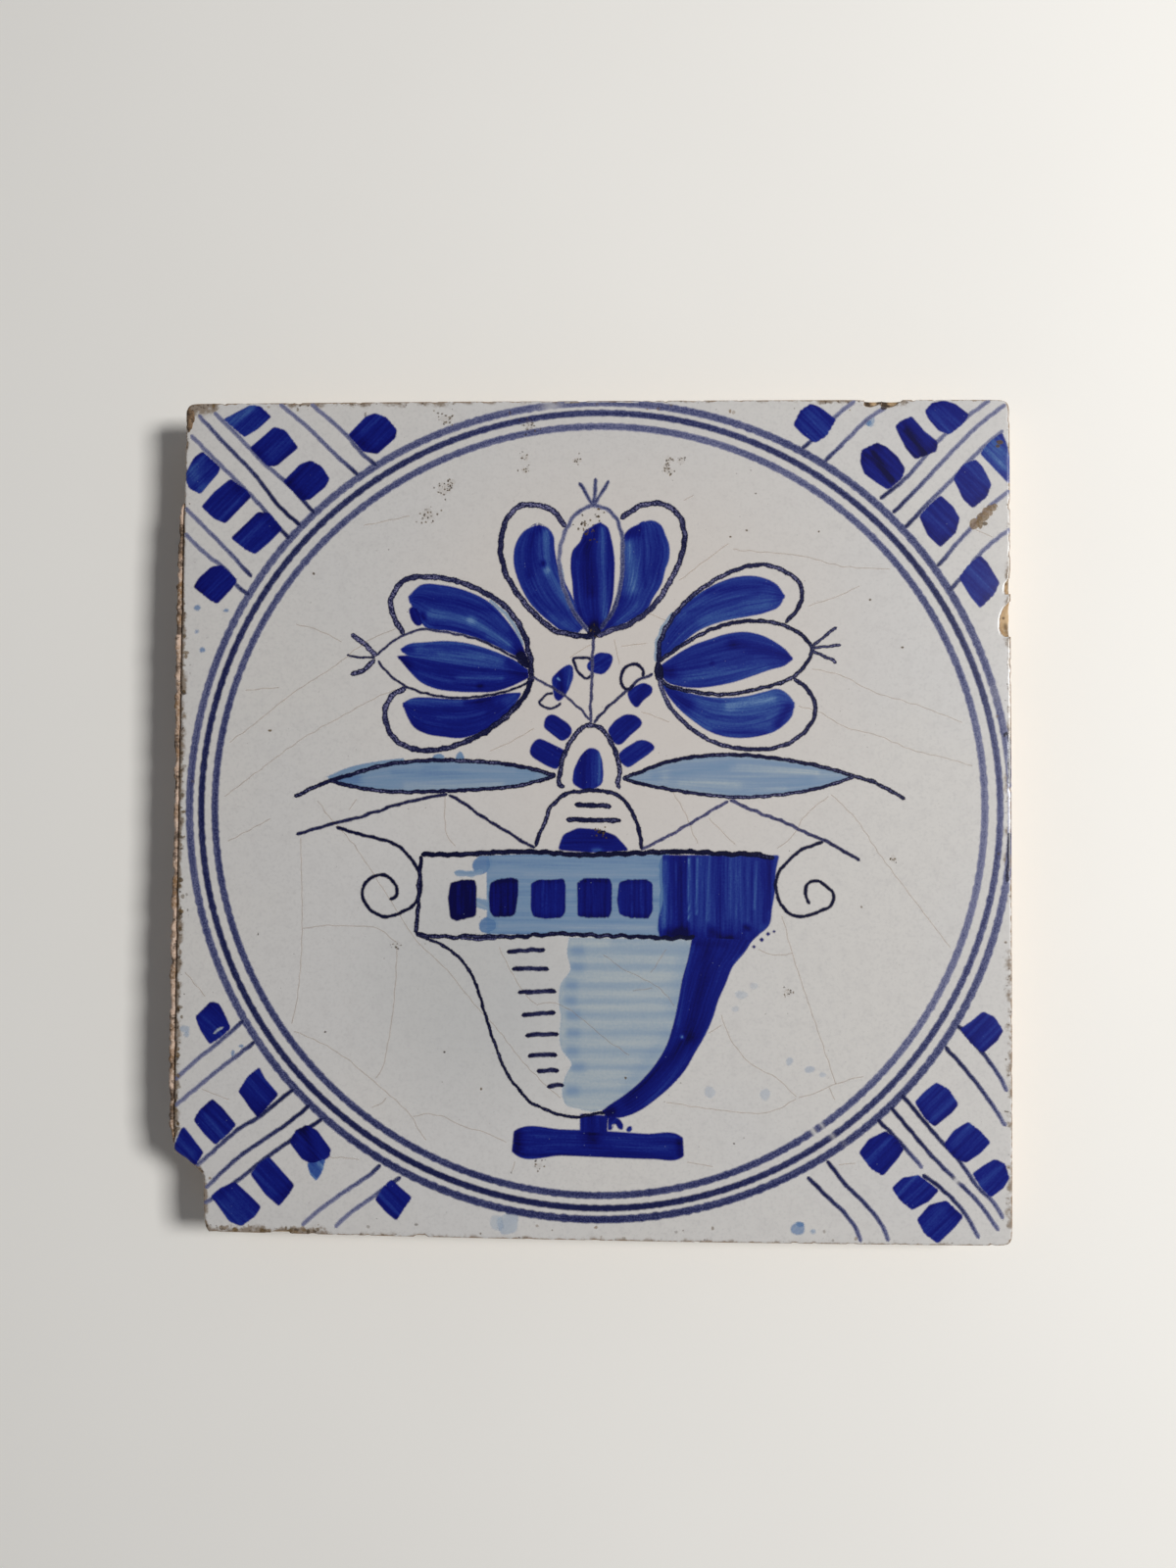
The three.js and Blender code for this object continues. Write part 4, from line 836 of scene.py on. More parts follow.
def rounded(points, corner):
    """A closed outline of straight sides whose corners are rounded: each place is the mean of the
    stretch of sides within the corner size of it. It is pushed out by the fringe."""
    knots = np.array(points, float).reshape(-1, 2)
    knots = np.concatenate([knots, knots[:1]])
    travelled = travel(knots)
    count = max(int(travelled[-1] / 0.08), 24)
    corner = min(corner, travelled[-1] / 14)
    line = places_on(knots, travelled, np.linspace(0, travelled[-1], count, endpoint=False))
    reach = max(int(corner / (travelled[-1] / count)), 1)
    line = sum(np.roll(line, shift, axis=0) for shift in range(-reach, reach + 1)) / (2 * reach + 1)
    line = line[::3] if count > 36 else line
    heading = np.roll(line, -1, axis=0) - np.roll(line, 1, axis=0)
    heading /= np.maximum(np.hypot(*heading.T), 1e-6)[:, None]
    area = (line[:, 0] * np.roll(line[:, 1], -1) - np.roll(line[:, 0], -1) * line[:, 1]).sum()
    outward = np.stack([heading[:, 1], -heading[:, 0]], -1) * np.sign(area)
    return line + outward * FRINGE


def brush_axes(turn):
    """The direction of a brush that lies turn degrees from level, and the direction beside it."""
    angle = math.radians(turn)
    return np.array([[math.cos(angle), math.sin(angle)], [-math.sin(angle), math.cos(angle)]])


def blot(points, tone=0.4, dabs=(), lift=FILL_LIFT, turn=45, strength=1.0, corner=0.6, jag=0.0):
    """A filled shape round a middle: rings from the outline in to a pole. Its corners are rounded
    over corner mm. Its map runs along the brush, whose direction is turn degrees, and its ends are
    torn by jag mm along the brush."""
    outline = rounded(points, corner)
    brush, beside = brush_axes(turn)
    outline = outline + brush * (jag * wander(outline @ beside, 0.8))[:, None]
    middle = outline.mean(0)
    shares = np.array([0.12, 0.3, 0.5, 0.68, 0.82, 0.91, 0.96, 1.0])[:, None, None]
    spots = middle + shares * (outline - middle)
    spots = np.concatenate([spots.reshape(-1, 2), middle[None]])
    x, y = spots.T
    inside = nearest(x, y, outline)
    inside[-1 - len(outline):-1] = 0
    paint = np.stack([inside, tones_at(x, y, tone, dabs), np.full(len(x), strength)], -1)
    solid = on_face(x, y, next_lift(lift) + SWELL * np.clip(inside / 0.5, 0, 1))
    faces = facing_up(solid, ring_faces(len(shares), len(outline), poles=1))
    return solid, faces, spots @ brush_axes(turn).T, paint


COBALT = (
    (0.0, ink(1, 1, 62)), (0.2, ink(4, 9, 98)), (0.4, ink(10, 23, 118)), (0.6, ink(29, 50, 135)),
    (0.8, ink(54, 86, 153)), (1.0, ink(98, 130, 176)),
)
cobalt = paint_material(
    "strong_cobalt", COBALT, streak=0.13, grain=0.13, grain_size=0.32, pool=-0.03, ragged=0.13,
    soft=0.32, breadth=0.55, length=11, pits=0.3,
)
CORNER_BLOCKS = [  # tone and outline
    (0.46, -58.8, 62.7, -54.5, 65, -52.9, 64.8, -51.1, 63.1, -53.2, 61.1, -55.4, 59.8),
    (0.36, -54.5, 58.1, -50.6, 61.5, -48.8, 60.9, -46.7, 58.1, -50.1, 55.2, -51.6, 55.1),
    (0.3, -49.1, 52.7, -46.4, 55.5, -44.7, 56.1, -42.9, 55.1, -41.6, 53.1, -42.3, 51.8, -44.7, 49.8,
     -46, 49.6),
    (0.47, -65, 53.7, -63.4, 56.6, -62.1, 57.6, -59.1, 55, -59.5, 54, -62.3, 50.7, -64.1, 51.6),
    (0.38, -62.1, 48.7, -60.1, 51.1, -57.5, 53.2, -54.9, 51.4, -54.1, 50.3, -58.2, 46, -60.1, 46.8),
    (0.36, -57.3, 43.7, -53, 47.9, -51.2, 47.7, -49.1, 45.1, -51.2, 42.9, -53.4, 41.1, -54.9, 41.8),
    (0.3, -63.2, 35.9, -62.3, 37.4, -60.3, 39.2, -58.6, 39.4, -56.1, 37, -57.1, 35.5, -59.3, 33.2,
     -60.4, 33.7),
    (0.34, -38.8, 60.1, -36, 63.1, -34.5, 63.6, -32.7, 62.9, -31, 60.9, -31.2, 59.6, -34.1, 57,
     -36.4, 57.4),
    (0.44, 31.3, 61.4, 32.4, 63.7, 34.1, 64.8, 35.8, 64, 38, 62.2, 36.5, 59.6, 34.7, 58.5, 32.8, 59.8),
    (0.42, 51.7, 63.5, 52.8, 64.8, 54.7, 65.2, 56.5, 64.6, 58.6, 62.9, 57.6, 61.4, 55.6, 59.8,
     53.9, 60.3, 52.3, 62.2),
    (0.3, 47.1, 61.1, 48, 62, 49.7, 62.7, 51.7, 60.3, 53.7, 58.7, 53.6, 57.2, 51.7, 56.4, 50.2, 55.9,
     48.7, 57.7),
    (0.32, 41.7, 55.5, 41.9, 57.4, 44.3, 58.6, 45.8, 57.9, 47.6, 56.3, 48.7, 54.4, 48.2, 52.9,
     46.1, 51.1, 44.3, 52.2, 42.3, 53.7),
    (0.6, 60.2, 56.8, 61.5, 58.5, 63.6, 60.1, 64.3, 58.5, 64.9, 55.9, 64.7, 52, 62.4, 54.4),
    (0.4, 56.1, 52.9, 57.6, 55.1, 59.5, 55.9, 60.6, 54.8, 62, 52, 61.3, 50, 59.1, 48.2, 57.6, 49.6),
    (0.36, 50.8, 47, 52.1, 48.5, 54.1, 50.3, 56.1, 48.5, 57.1, 46.6, 56.5, 44.4, 54.1, 42.1, 52.1, 44),
    (0.45, 56.9, 37.4, 58.4, 39.4, 60.2, 40.9, 61.3, 39.8, 63.2, 36.6, 62.4, 34.8, 60.2, 32.6,
     58.7, 34.4),
    (0.34, -61.8, -31.8, -59.4, -29.4, -58.1, -29.6, -57.2, -31.1, -56.1, -33.5, -57.4, -34.8,
     -59.4, -36.1, -60.9, -34),
    (0.34, -54.8, -43.3, -53.3, -40.9, -51.5, -39.5, -50.7, -41.1, -48.4, -43.7, -49.6, -45.1,
     -51.6, -47.4, -52.9, -45.9),
    (0.36, -61.8, -47.9, -60.9, -46.3, -58.9, -44.5, -57.2, -45.9, -55, -48.5, -56.3, -50, -58.3, -51.7,
     -60.1, -50),
    (0.4, -65, -52.2, -63.7, -49.2, -63.3, -48.9, -61.8, -50.7, -60.1, -52.9, -61.4, -55, -63.3, -53.7),
    (0.3, -46.6, -51.1, -45.7, -49.2, -43.9, -48.3, -42.2, -49.2, -40, -52.2, -40.3, -53.3,
     -42.6, -54.6, -44.6, -53.7),
    (0.8, -43.8, -54.2, -40.9, -53.4, -41.3, -55.4, -42.3, -57, -43.3, -56),
    (0.36, -52.7, -56.1, -51.4, -54.4, -49.8, -53.3, -48.1, -55.1, -45.7, -57.7, -46.6, -59.2,
     -48.1, -61, -50.3, -59.2),
    (0.46, -58.9, -59.6, -57.4, -58.3, -55.1, -57.3, -52.9, -59.2, -50.9, -61.1, -51.8, -62.6,
     -54, -64.2, -55.9, -63.5, -57.7, -61.1),
    (0.34, -33.1, -59.7, -31.8, -57.7, -30.6, -56.5, -27.3, -59.3, -28.5, -61, -29.7, -62.9,
     -31.4, -61.6),
    (0.4, 56.9, -32.2, 58.5, -31.1, 60.4, -29.5, 62.2, -30.3, 63.5, -32.4, 62.6, -34, 60.4, -35.9,
     58.5, -34.4),
    (0.4, 50, -43.5, 51.5, -41.8, 53.3, -40.4, 55.2, -41.4, 56.7, -43.7, 55.6, -45.1, 53, -47.2,
     51.5, -45.9),
    (0.4, 54.4, -49.8, 55.9, -47.7, 58.1, -46.3, 60, -47.7, 61.5, -49.4, 60, -51.1, 57.8, -52.6,
     55.9, -51.8),
    (0.42, 58.7, -54.2, 60.4, -52.9, 62.2, -51.9, 63.7, -52.6, 64.4, -54.8, 63.5, -56.3, 61.5, -57.8,
     60, -56.3),
    (0.36, 41.5, -51.3, 43, -49.2, 45.6, -47.9, 47.4, -49.2, 48.4, -50.7, 47.4, -52.2, 45.2, -54.8,
     43.3, -53.7),
    (0.4, 46.5, -56.6, 48.1, -55, 50.6, -54.5, 53.7, -56.8, 52.2, -58.5, 49.6, -59.9, 47.8, -58.5),
    (0.4, 50.3, -61.3, 52.2, -59, 54.8, -58.3, 57.4, -60.7, 55.9, -62.6, 53.5, -64.9, 51.5, -63.5),
]
BLOCK_DABS = [  # dark and light touches inside single blocks
    (-57.5, 62.4, -54, 64.5, 0.7, 0.2), (43.8, 56.6, 46.6, 52.8, 0.55, -0.5),
    (45.6, 57.6, 47.8, 54.6, 0.3, 0.12), (48.8, 60.6, 51.6, 57, 0.5, -0.4), (51, 62, 53, 58, 0.3, 0.1),
    (-44.5, -49, -42.5, -53.5, 0.8, -0.25), (62.5, 58, 64, 54, 1.2, 0.12),
    (-62, 52, -64, 55, 1, 0.15),
]


def corner_block(tone, *outline):
    """One touch of the flat brush along the diagonal of its corner: darker where the brush was set
    down, with a lighter streak beside the middle."""
    middle = np.reshape(outline, (-1, 2)).mean(axis=0)
    turn = -45 if middle.prod() > 0 else 45
    brush, beside = brush_axes(turn)
    begin = middle - 2.8 * brush * hand.choice([-1, 1])
    end = 2 * middle - begin
    streak = beside * hand.uniform(-1.6, 1.6)
    edge = beside * 2.4 * hand.choice([-1, 1])
    dabs = BLOCK_DABS + [
        (*(begin - 2 * beside), *(begin + 2 * beside), 0.8, -0.16),
        (*(begin + streak), *(end + streak), 0.5, hand.uniform(0.08, 0.2)),
        (*(begin + edge), *(end + edge), 0.6, -0.1),
    ]
    return blot(outline, tone, dabs, turn=turn, jag=0.035, corner=0.34)


blocks = [corner_block(*block) for block in CORNER_BLOCKS]
put_down("corner_blocks", "cobalt_paint", cobalt, blocks, "outer_ring_and_corners")


# The vase: a drawn outline filled by a pale wash, five strong blocks and a row of short dashes along
# the lit side, and a dark shade down the right side. The foot is a single broad bar.
OUTLINE = (
    (0.0, ink(5, 7, 44)), (0.3, ink(23, 25, 64)), (0.6, ink(66, 68, 104)), (1.0, ink(124, 122, 158)),
)
rope_line = paint_material(
    "dark_outline", OUTLINE, streak=0.06, grain=0.25, grain_size=0.24, pool=0.06, ragged=0.3,
    soft=0.2, beads=0.66, length=4, breadth=0.3,
)
fine_line = paint_material(
    "fine_outline", OUTLINE, streak=0.08, grain=0.5, grain_size=0.24, pool=-0.06, ragged=0.24,
    soft=0.26, length=4, breadth=0.3,
)
WASH = (
    (0.0, ink(84, 118, 162)), (0.3, ink(108, 138, 171)), (0.55, ink(121, 145, 174)),
    (0.8, ink(143, 161, 179)), (1.0, ink(170, 180, 186)),
)
wash, smooth_wash = (
    paint_material(
        name, WASH, streak=streak, grain=0.09, grain_size=0.4, pool=0.1, ragged=0.3, soft=0.4,
        cover=0.94, breadth=breadth, length=22,
    ) for name, streak, breadth in (("thin_blue_wash", 0.2, 0.8), ("smooth_blue_wash", 0.07, 1.3))
)


def pushed_out(side, other):
    """One side of a shape moved away from the other side by the fringe."""
    outward = leftward(side)
    return side + outward * FRINGE * np.sign(((side - other) * outward).sum())


def fill(one_side, other_side, tone=0.4, dabs=(), lift=FILL_LIFT, turn=None, jag=0.0):
    """A filled shape between two smooth sides, both running the way the brush went: the shape is the
    straight blend from one side to the other, in columns that are closer near the sides. Its ends
    are torn by jag mm along the brush."""
    first, second = curve(one_side, 0.25), curve(other_side, 0.25)
    rows = max(len(first), len(second))
    first, second = (
        places_on(side, np.linspace(0, 1, len(side)), np.linspace(0, 1, rows))
        for side in (first, second)
    )
    first, second = pushed_out(first, second), pushed_out(second, first)
    both = first + second
    set_off, run_out = (way / np.hypot(*way) for way in (both[1] - both[0], both[-1] - both[-2]))
    for side in (first, second):
        side[0] -= FRINGE * set_off
        side[-1] += FRINGE * run_out
    widest = np.hypot(*(first - second).T).max()
    columns = int(np.clip(widest / 0.3, 8, 60))
    t = np.linspace(0, 1, columns)
    t = 0.6 * t + 0.4 * (0.5 - 0.5 * np.cos(math.pi * t))
    spots = first[:, None] * (1 - t)[:, None] + second[:, None] * t[:, None]
    run = travel((first + second) / 2)
    tooth = jag * wander(t * widest, 0.9)
    for way, far in ((set_off, run), (run_out, run[-1] - run)):
        spots += np.exp(-far)[:, None, None] * tooth[:, None] * way
    x, y = spots[..., 0], spots[..., 1]
    rim = np.concatenate([spots[:, 0], spots[:, -1], spots[0], spots[-1]])
    inside = nearest(x, y, rim)
    inside[[0, -1]] = 0
    inside[:, [0, -1]] = 0
    paint = np.stack([inside, tones_at(x, y, tone, dabs), np.ones(x.shape)], -1)
    if turn is None:
        chart = np.stack(np.broadcast_arrays(run[:, None], t * widest), -1)
    else:
        chart = spots @ brush_axes(turn).T
    solid = on_face(x, y, next_lift(lift) + SWELL * np.clip(inside / 0.5, 0, 1)).reshape(-1, 3)
    faces = facing_up(solid, sheet_faces(rows, columns))
    return solid, faces, chart.reshape(-1, 2), paint.reshape(-1, 3)


put_down("rim_wash_film", "thin_wash", wash, [
    fill([-16.2, -6.2, -8, -5.9, 2, -6.1, 12.3, -5.7],
        [-16, -18.5, -6, -18.5, 4, -18.7, 12.3, -18.8], 0.34,
        [(-15, -7, 10, -7, 1.0, -0.1), (-14, -17.2, 10, -17.3, 0.6, 0.2),
         (-10, -9.1, 10, -9.1, 0.3, 0.18), (-13, -12.6, 10, -12.8, 0.8, -0.12),
         (-14, -18.3, 9, -18.3, 0.3, -0.14), (-3, -13, -2.9, -12, 0.4, 0.1)], WASH_LIFT, turn=0),
    blot([-18.5, -7.4, -17.2, -6.1, -15.5, -6.4, -15.2, -8.2, -16.8, -9.2, -18.2, -8.8], 0.05,
        lift=WASH_LIFT, turn=0),
    blot([-17.3, -16.6, -16, -15.6, -14.4, -16.2, -14.3, -17.8, -15.8, -18.5, -17.2, -18], 0.08,
        lift=WASH_LIFT, turn=0),
    stroke([-21.3, -8.9, -19, -9.1, -16.5, -8.6], 0.9, 0.5, WASH_LIFT),
    stroke([-18, -13, -16.8, -13.8, -15.6, -14.4], 1.4, 0.5, WASH_LIFT),
    stroke([11.4, -6.2, 11.6, -12, 11.2, -18.4], 1.7, -0.2, WASH_LIFT),
], "rim_wash")
WASH_LEFT = [
    -3.2, -18.9, -3.5, -21, -3, -24, -4.4, -26, -4.7, -29, -4.4, -31, -4.6, -34, -4.3, -36, -2.7, -38.5,
    -3.5, -40, -4.1, -43, -3.5, -44.6, -1, -45.3,
]
WASH_RIGHT = [
    16.4, -18.9, 15.9, -22, 15.2, -25.5, 14.4, -29, 13.6, -32.5, 12.2, -36, 10.4, -39, 8, -41.6, 5,
    -43.8, 2.4, -45.2, 0.9, -45.6,
]
STRIPES = (-20.9, -23.4, -26.2, -28.6, -30.9, -33.6, -36.4, -38.9, -42.5)
DABS = (-2.2, -2.2, -3.2, -3.4, -2.8, -2.8, -3, -2, -2.9)
stripes = [(-3, y, 16, y + 0.2, 0.6, -0.15) for y in STRIPES]
stripes += [(x, y, x + 0.7, y, 0.8, -0.3) for x, y in zip(DABS, STRIPES)]
stripes += [
    (4, -19.5, 15, -19.7, 0.9, -0.12), (14.6, -22, 13, -30, 1.3, -0.12), (12, -34, 6, -42, 1.2, -0.12),
]
put_down("bowl_wash_film", "thin_wash", smooth_wash, [
    fill(WASH_LEFT, WASH_RIGHT, 0.93, stripes, WASH_LIFT, turn=0),
], "bowl_wash")
RIM_BLOCKS = [  # outlines
    [-21.8, -10.5, -20, -10, -18, -10, -17.7, -11.1, -17.7, -14.9, -17.8, -15.7, -20.9, -16.5,
     -21.8, -16, -22.2, -12.8],
    [-15.6, -10.5, -14.4, -9.9, -12.2, -9.6, -11.2, -9.9, -11.2, -12.4, -11.6, -15.2, -12.2, -15.7,
     -15, -15.8, -15.6, -14.9, -15.8, -12.7],
    [-9.2, -10.5, -8.1, -9.9, -5.9, -9.9, -4.1, -9.7, -3.8, -10.8, -3.8, -14.9, -4.4, -15.8, -6.9, -16,
     -8.75, -15.7, -9.2, -14.6],
    [-2, -10.3, -0.9, -9.6, 3, -9.6, 3.4, -10.5, 3.4, -14.6, 3, -15.7, -0.3, -15.8, -1.9, -15.5],
    [4.5, -10.3, 5.6, -9.8, 8.75, -9.7, 9.7, -10.3, 9.75, -14.6, 9.1, -15.8, 6.25, -15.75, 4.6, -15.2,
     4.2, -13],
]
RIM_BLOCK_DABS = [(x, -10, x + 0.2, -15.4, 0.2, 0.12) for x in (-20.4, -18.8, -7.2, -5.4, 0.4, 6.4, 8)]
RIM_BLOCK_DABS += [(-22, -15.9, 10, -15.5, 0.45, -0.16), (-22, -10.2, 10, -9.9, 0.35, -0.16)]
put_down("rim_blocks", "cobalt_paint", cobalt, [
    blot(points, tone, RIM_BLOCK_DABS, turn=90, corner=0.3, jag=0.04)
    for points, tone in zip(RIM_BLOCKS, (0.0, 0.12, 0.3, 0.25, 0.31))
], *("rim_block_%d" % number for number in range(1, 6)))
RIM_SHADE_DABS = [
    (13.9, -6, 14, -18.5, 1.2, -0.33), (13.3, -7, 13.4, -17, 0.14, 0.22),
    (15.3, -6.5, 15.3, -16, 0.18, 0.5), (16.7, -6.5, 16.5, -15, 0.2, 0.3),
    (18.4, -6, 18.3, -16, 0.25, 0.2), (20.2, -6, 20, -17, 0.5, -0.18), (22.6, -6, 22.2, -15, 0.9, 0.1),
    (11, -18.7, 27, -18.9, 1.3, -0.2), (19, -17.6, 20.5, -18.8, 0.7, -0.3),
    (25.8, -7, 25.4, -14, 0.3, 0.16), (27.6, -6.6, 27, -16, 0.6, -0.2),
    (14.8, -17.8, 12.6, -18, 0.9, -0.3), (21.5, -19.2, 21.8, -19, 0.6, -0.6),
    (24.5, -17.2, 24.2, -17, 0.5, -0.5), (11.6, -7, 11.6, -17, 0.4, 0.2),
    (28.2, -6.4, 27.6, -14, 0.4, -0.12), (25.4, -6.4, 25, -16, 0.25, -0.1),
]
BOWL_SHADE_DABS = [
    (18.4, -21, 15.6, -34, 0.9, -0.18), (15.6, -34, 6, -44, 0.9, -0.18),
    (23.2, -21.6, 18.2, -33.5, 0.5, 0.16), (18.2, -33.5, 9, -44.6, 0.45, 0.12),
    (16, -20, 13.6, -32, 0.35, 0.14), (14.4, -34, 14.4, -34, 0.3, 0.9),
    (3.6, -45.6, 3, -45.8, 0.8, -0.35), (21, -19.6, 16.6, -19.6, 0.6, -0.14),
]
put_down("vase_shade_stroke", "cobalt_paint", cobalt, [
    *(blot([x, y - size, x + size, y, x, y + size, x - size, y], 0.2, corner=0.2)
      for x, y, size in ((26.6, -18.9, 0.4), (27.6, -18, 0.35), (28.5, -17.6, 0.25), (25.4, -20, 0.3))),
    fill([15.9, -18.4, 15.2, -22.1, 14.4, -25, 13.75, -28.6, 13, -32.1, 11.8, -35.7, 10, -38.6,
         7.9, -41, 5, -43.4, 3.2, -44.6, 1.9, -45.6],
        [25.6, -18.2, 24.1, -20.7, 22.1, -23.2, 21.1, -25.7, 20, -28.2, 19.1, -31.1, 18, -33.6,
         16.4, -36.4, 15, -38.9, 12.9, -41.4, 10.4, -43.6, 7.9, -45.4, 5, -46.5, 3, -46.6], 0.34,
        BOWL_SHADE_DABS),
    fill([11.2, -5.9, 11.2, -9, 11.3, -13.3, 10.6, -16.3, 10.8, -18.7],
        [29.3, -5.8, 28.8, -8.3, 28.7, -11, 28.2, -14, 27.7, -16.7, 26.3, -18, 25, -19.2], 0.53,
        RIM_SHADE_DABS, turn=90),
], "vase_shade")
put_down("foot_bar", "cobalt_paint", cobalt, [
    fill([-11.5, -48.8, -10.9, -48.45, -4, -48.45, 3, -48.6, 9, -48.9, 13.9, -49, 14.5, -49.4],
        [-11.8, -52, -11.2, -52.5, -4, -52.5, 4, -52.7, 10, -52.8, 14, -52.7, 14.7, -52.3], 0.4,
        [(-11, -49.2, -11, -51.8, 0.9, -0.34), (14, -50, 14.2, -52, 0.6, -0.3),
         (-10, -52.3, 13, -52.5, 0.35, -0.2), (0.5, -49.4, 0.7, -49.8, 1.3, -0.34),
         (-8, -49.6, -2, -49.6, 0.3, 0.1), (4, -51, 12, -51.2, 0.3, 0.1)]),
    fill([-1.3, -46, -1.35, -47, -1.3, -48.9], [3.1, -46.2, 3, -47, 2.9, -49], 0.34,
        [(0.4, -46.2, 0.5, -49, 0.5, -0.15)], turn=90),
    blot([3, -46.4, 4, -46.3, 4.9, -46.8, 5.4, -47.6, 5.3, -48.4, 4.7, -48.3, 4.2, -47.5, 3.6, -47.6,
         3.7, -48.4, 3, -48.5], 0.34, corner=0.2),
    blot([6, -47.9, 6.6, -47.7, 6.8, -48.3, 6.3, -48.8, 5.8, -48.5], 0.4, corner=0.2),
], "foot")
HATCHES = [  # the two ends
    (-13, -21.2, -6.8, -20.8), (-12.2, -23.8, -6.2, -23.8), (-11.2, -27.5, -5, -27.2),
    (-10.6, -31, -5.1, -30.5), (-10, -34.1, -4.6, -33.8), (-9.6, -37.2, -4.8, -37),
    (-8.2, -39.6, -4.5, -39.4), (-6.6, -42, -3.75, -41.6),
]
put_down("bowl_hatches", "outline_paint", fine_line, [
    stroke([x1, y1, (x1 + x2) / 2, (y1 + y2) / 2 + 0.1, x2, y2], 0.72, (0.0, 0.3, 0.35, 0.0))
    for x1, y1, x2, y2 in HATCHES
], *("bowl_hatch_%d" % number for number in range(1, 9)))
put_down("vase_drawing", "outline_paint", rope_line, [
    stroke([-26.6, -6.1, -20.6, -6.1, -14.4, -5.7, -8.1, -5.6, -1.9, -6, 4.4, -5.8, 10.6, -5.5,
         15, -5.4, 21.7, -5.7, 25, -5.7, 28.6, -6.3], 0.82, -0.25, tremble=0.08),
    stroke([-26.4, -6.2, -26.7, -10, -26.8, -13.3, -27, -16.7, -27.2, -18.5], 0.7, -0.1),
    stroke([-27.3, -18.5, -23.75, -18.9, -18, -18.8, -11.25, -18.8, -5, -18.3, 1.25, -18.5, 7.5, -18.6,
         12, -18.8, 16.4, -18.6], 0.68, -0.1, tremble=0.12),
    stroke([-20.3, -19.1, -17.4, -19.3, -14.4, -19.1], 0.45, 0.35),
    stroke([-27.3, -18.6, -25.4, -19.2, -22.9, -20.3, -20.7, -21.8, -19.1, -23.6, -17.9, -25.7,
         -17, -28.2, -16.1, -31.1, -15.2, -33.9, -14.1, -36.8, -12.9, -39.6, -11.1, -42.1, -8.6, -44.6,
         -6.4, -45.5, -4.3, -46.25, -1.8, -46.5, 0.4, -46.1, 2.6, -45.7], 0.5, -0.05),
], "vase_outline")


# The flowers: three tulips of three petals each. The petals are filled with one or two broad strokes
# that leave their own streaks, and a dark rope-like outline is drawn round them with a fine brush.
put_down("top_tulip_petals", "cobalt_paint", cobalt, [
    fill([-8.9, 45.8, -10.6, 44.9, -12, 42.8, -12.3, 39.4, -11.7, 37.2, -9.8, 33.5, -6.5, 30.3,
         -5, 29.2, -2, 28.7],
        [-8.5, 45.8, -7.2, 45.4, -6.1, 44, -5.9, 42, -5.4, 39.4, -4.3, 36.8, -3, 34.2, -1.3, 29.4],
        0.52,
        [(-9.5, 44, -9.6, 38, 0.8, -0.18), (-7.3, 44.6, -7, 38.5, 0.6, 0.26),
         (-7, 38.5, -3.5, 33, 0.7, 0.24), (-7.7, 39.5, -7.7, 39.7, 0.4, -0.5),
         (-6, 31.2, -3, 30, 0.8, 0.14), (-9, 34.6, -5, 30.8, 0.4, -0.14),
         (-8.4, 45.2, -8.4, 45, 0.8, -0.2)], jag=0.2),
    fill([0.2, 45.6, -1.3, 44.6, -1.9, 43.1, -3.1, 41.6, -3.4, 39.4, -3.1, 36.4, -2.8, 33.5, -2, 31.3,
         -0.9, 29.8, 0.6, 28.2],
        [1.3, 46.1, 2.4, 45.3, 3, 43.5, 3.5, 40.5, 3.5, 37.2, 3.3, 34.2, 2.8, 32, 2, 29.8, 1.1, 28.2],
        0.37,
        [(-0.8, 43, -0.2, 35, 0.8, -0.24), (1.5, 45, 2, 31, 0.6, 0.32), (-2.4, 40, -1.9, 33, 0.4, 0.12),
         (0.3, 29.6, 0.4, 28.6, 1.0, -0.6), (0.6, 45, 0.6, 44, 0.6, -0.15)]),
    fill([7.4, 45.9, 5.7, 45, 4.6, 43.3, 4.5, 40.9, 4.1, 35, 1.3, 28.7],
        [8, 46.2, 9.3, 46.4, 10.7, 45.7, 11.5, 44, 12, 42.7, 12, 40.1, 11.5, 38.7, 10.9, 36.4,
         9.6, 34.2, 8.7, 32.4, 6.9, 31.1, 5, 30.1, 3.1, 29.2, 1.6, 28.4], 0.55,
        [(4.9, 44.2, 7, 44.8, 1.0, -0.3), (5.7, 42.6, 6.4, 35.6, 0.9, 0.28),
         (9.8, 44, 10, 38, 1.0, -0.1), (4.6, 34, 2, 29.4, 0.8, -0.24), (8, 44, 8.3, 36, 0.25, -0.16),
         (7, 33, 4, 30.4, 0.5, 0.12)]),
], "top_tulip_petal_left", "top_tulip_petal_middle", "top_tulip_petal_right")
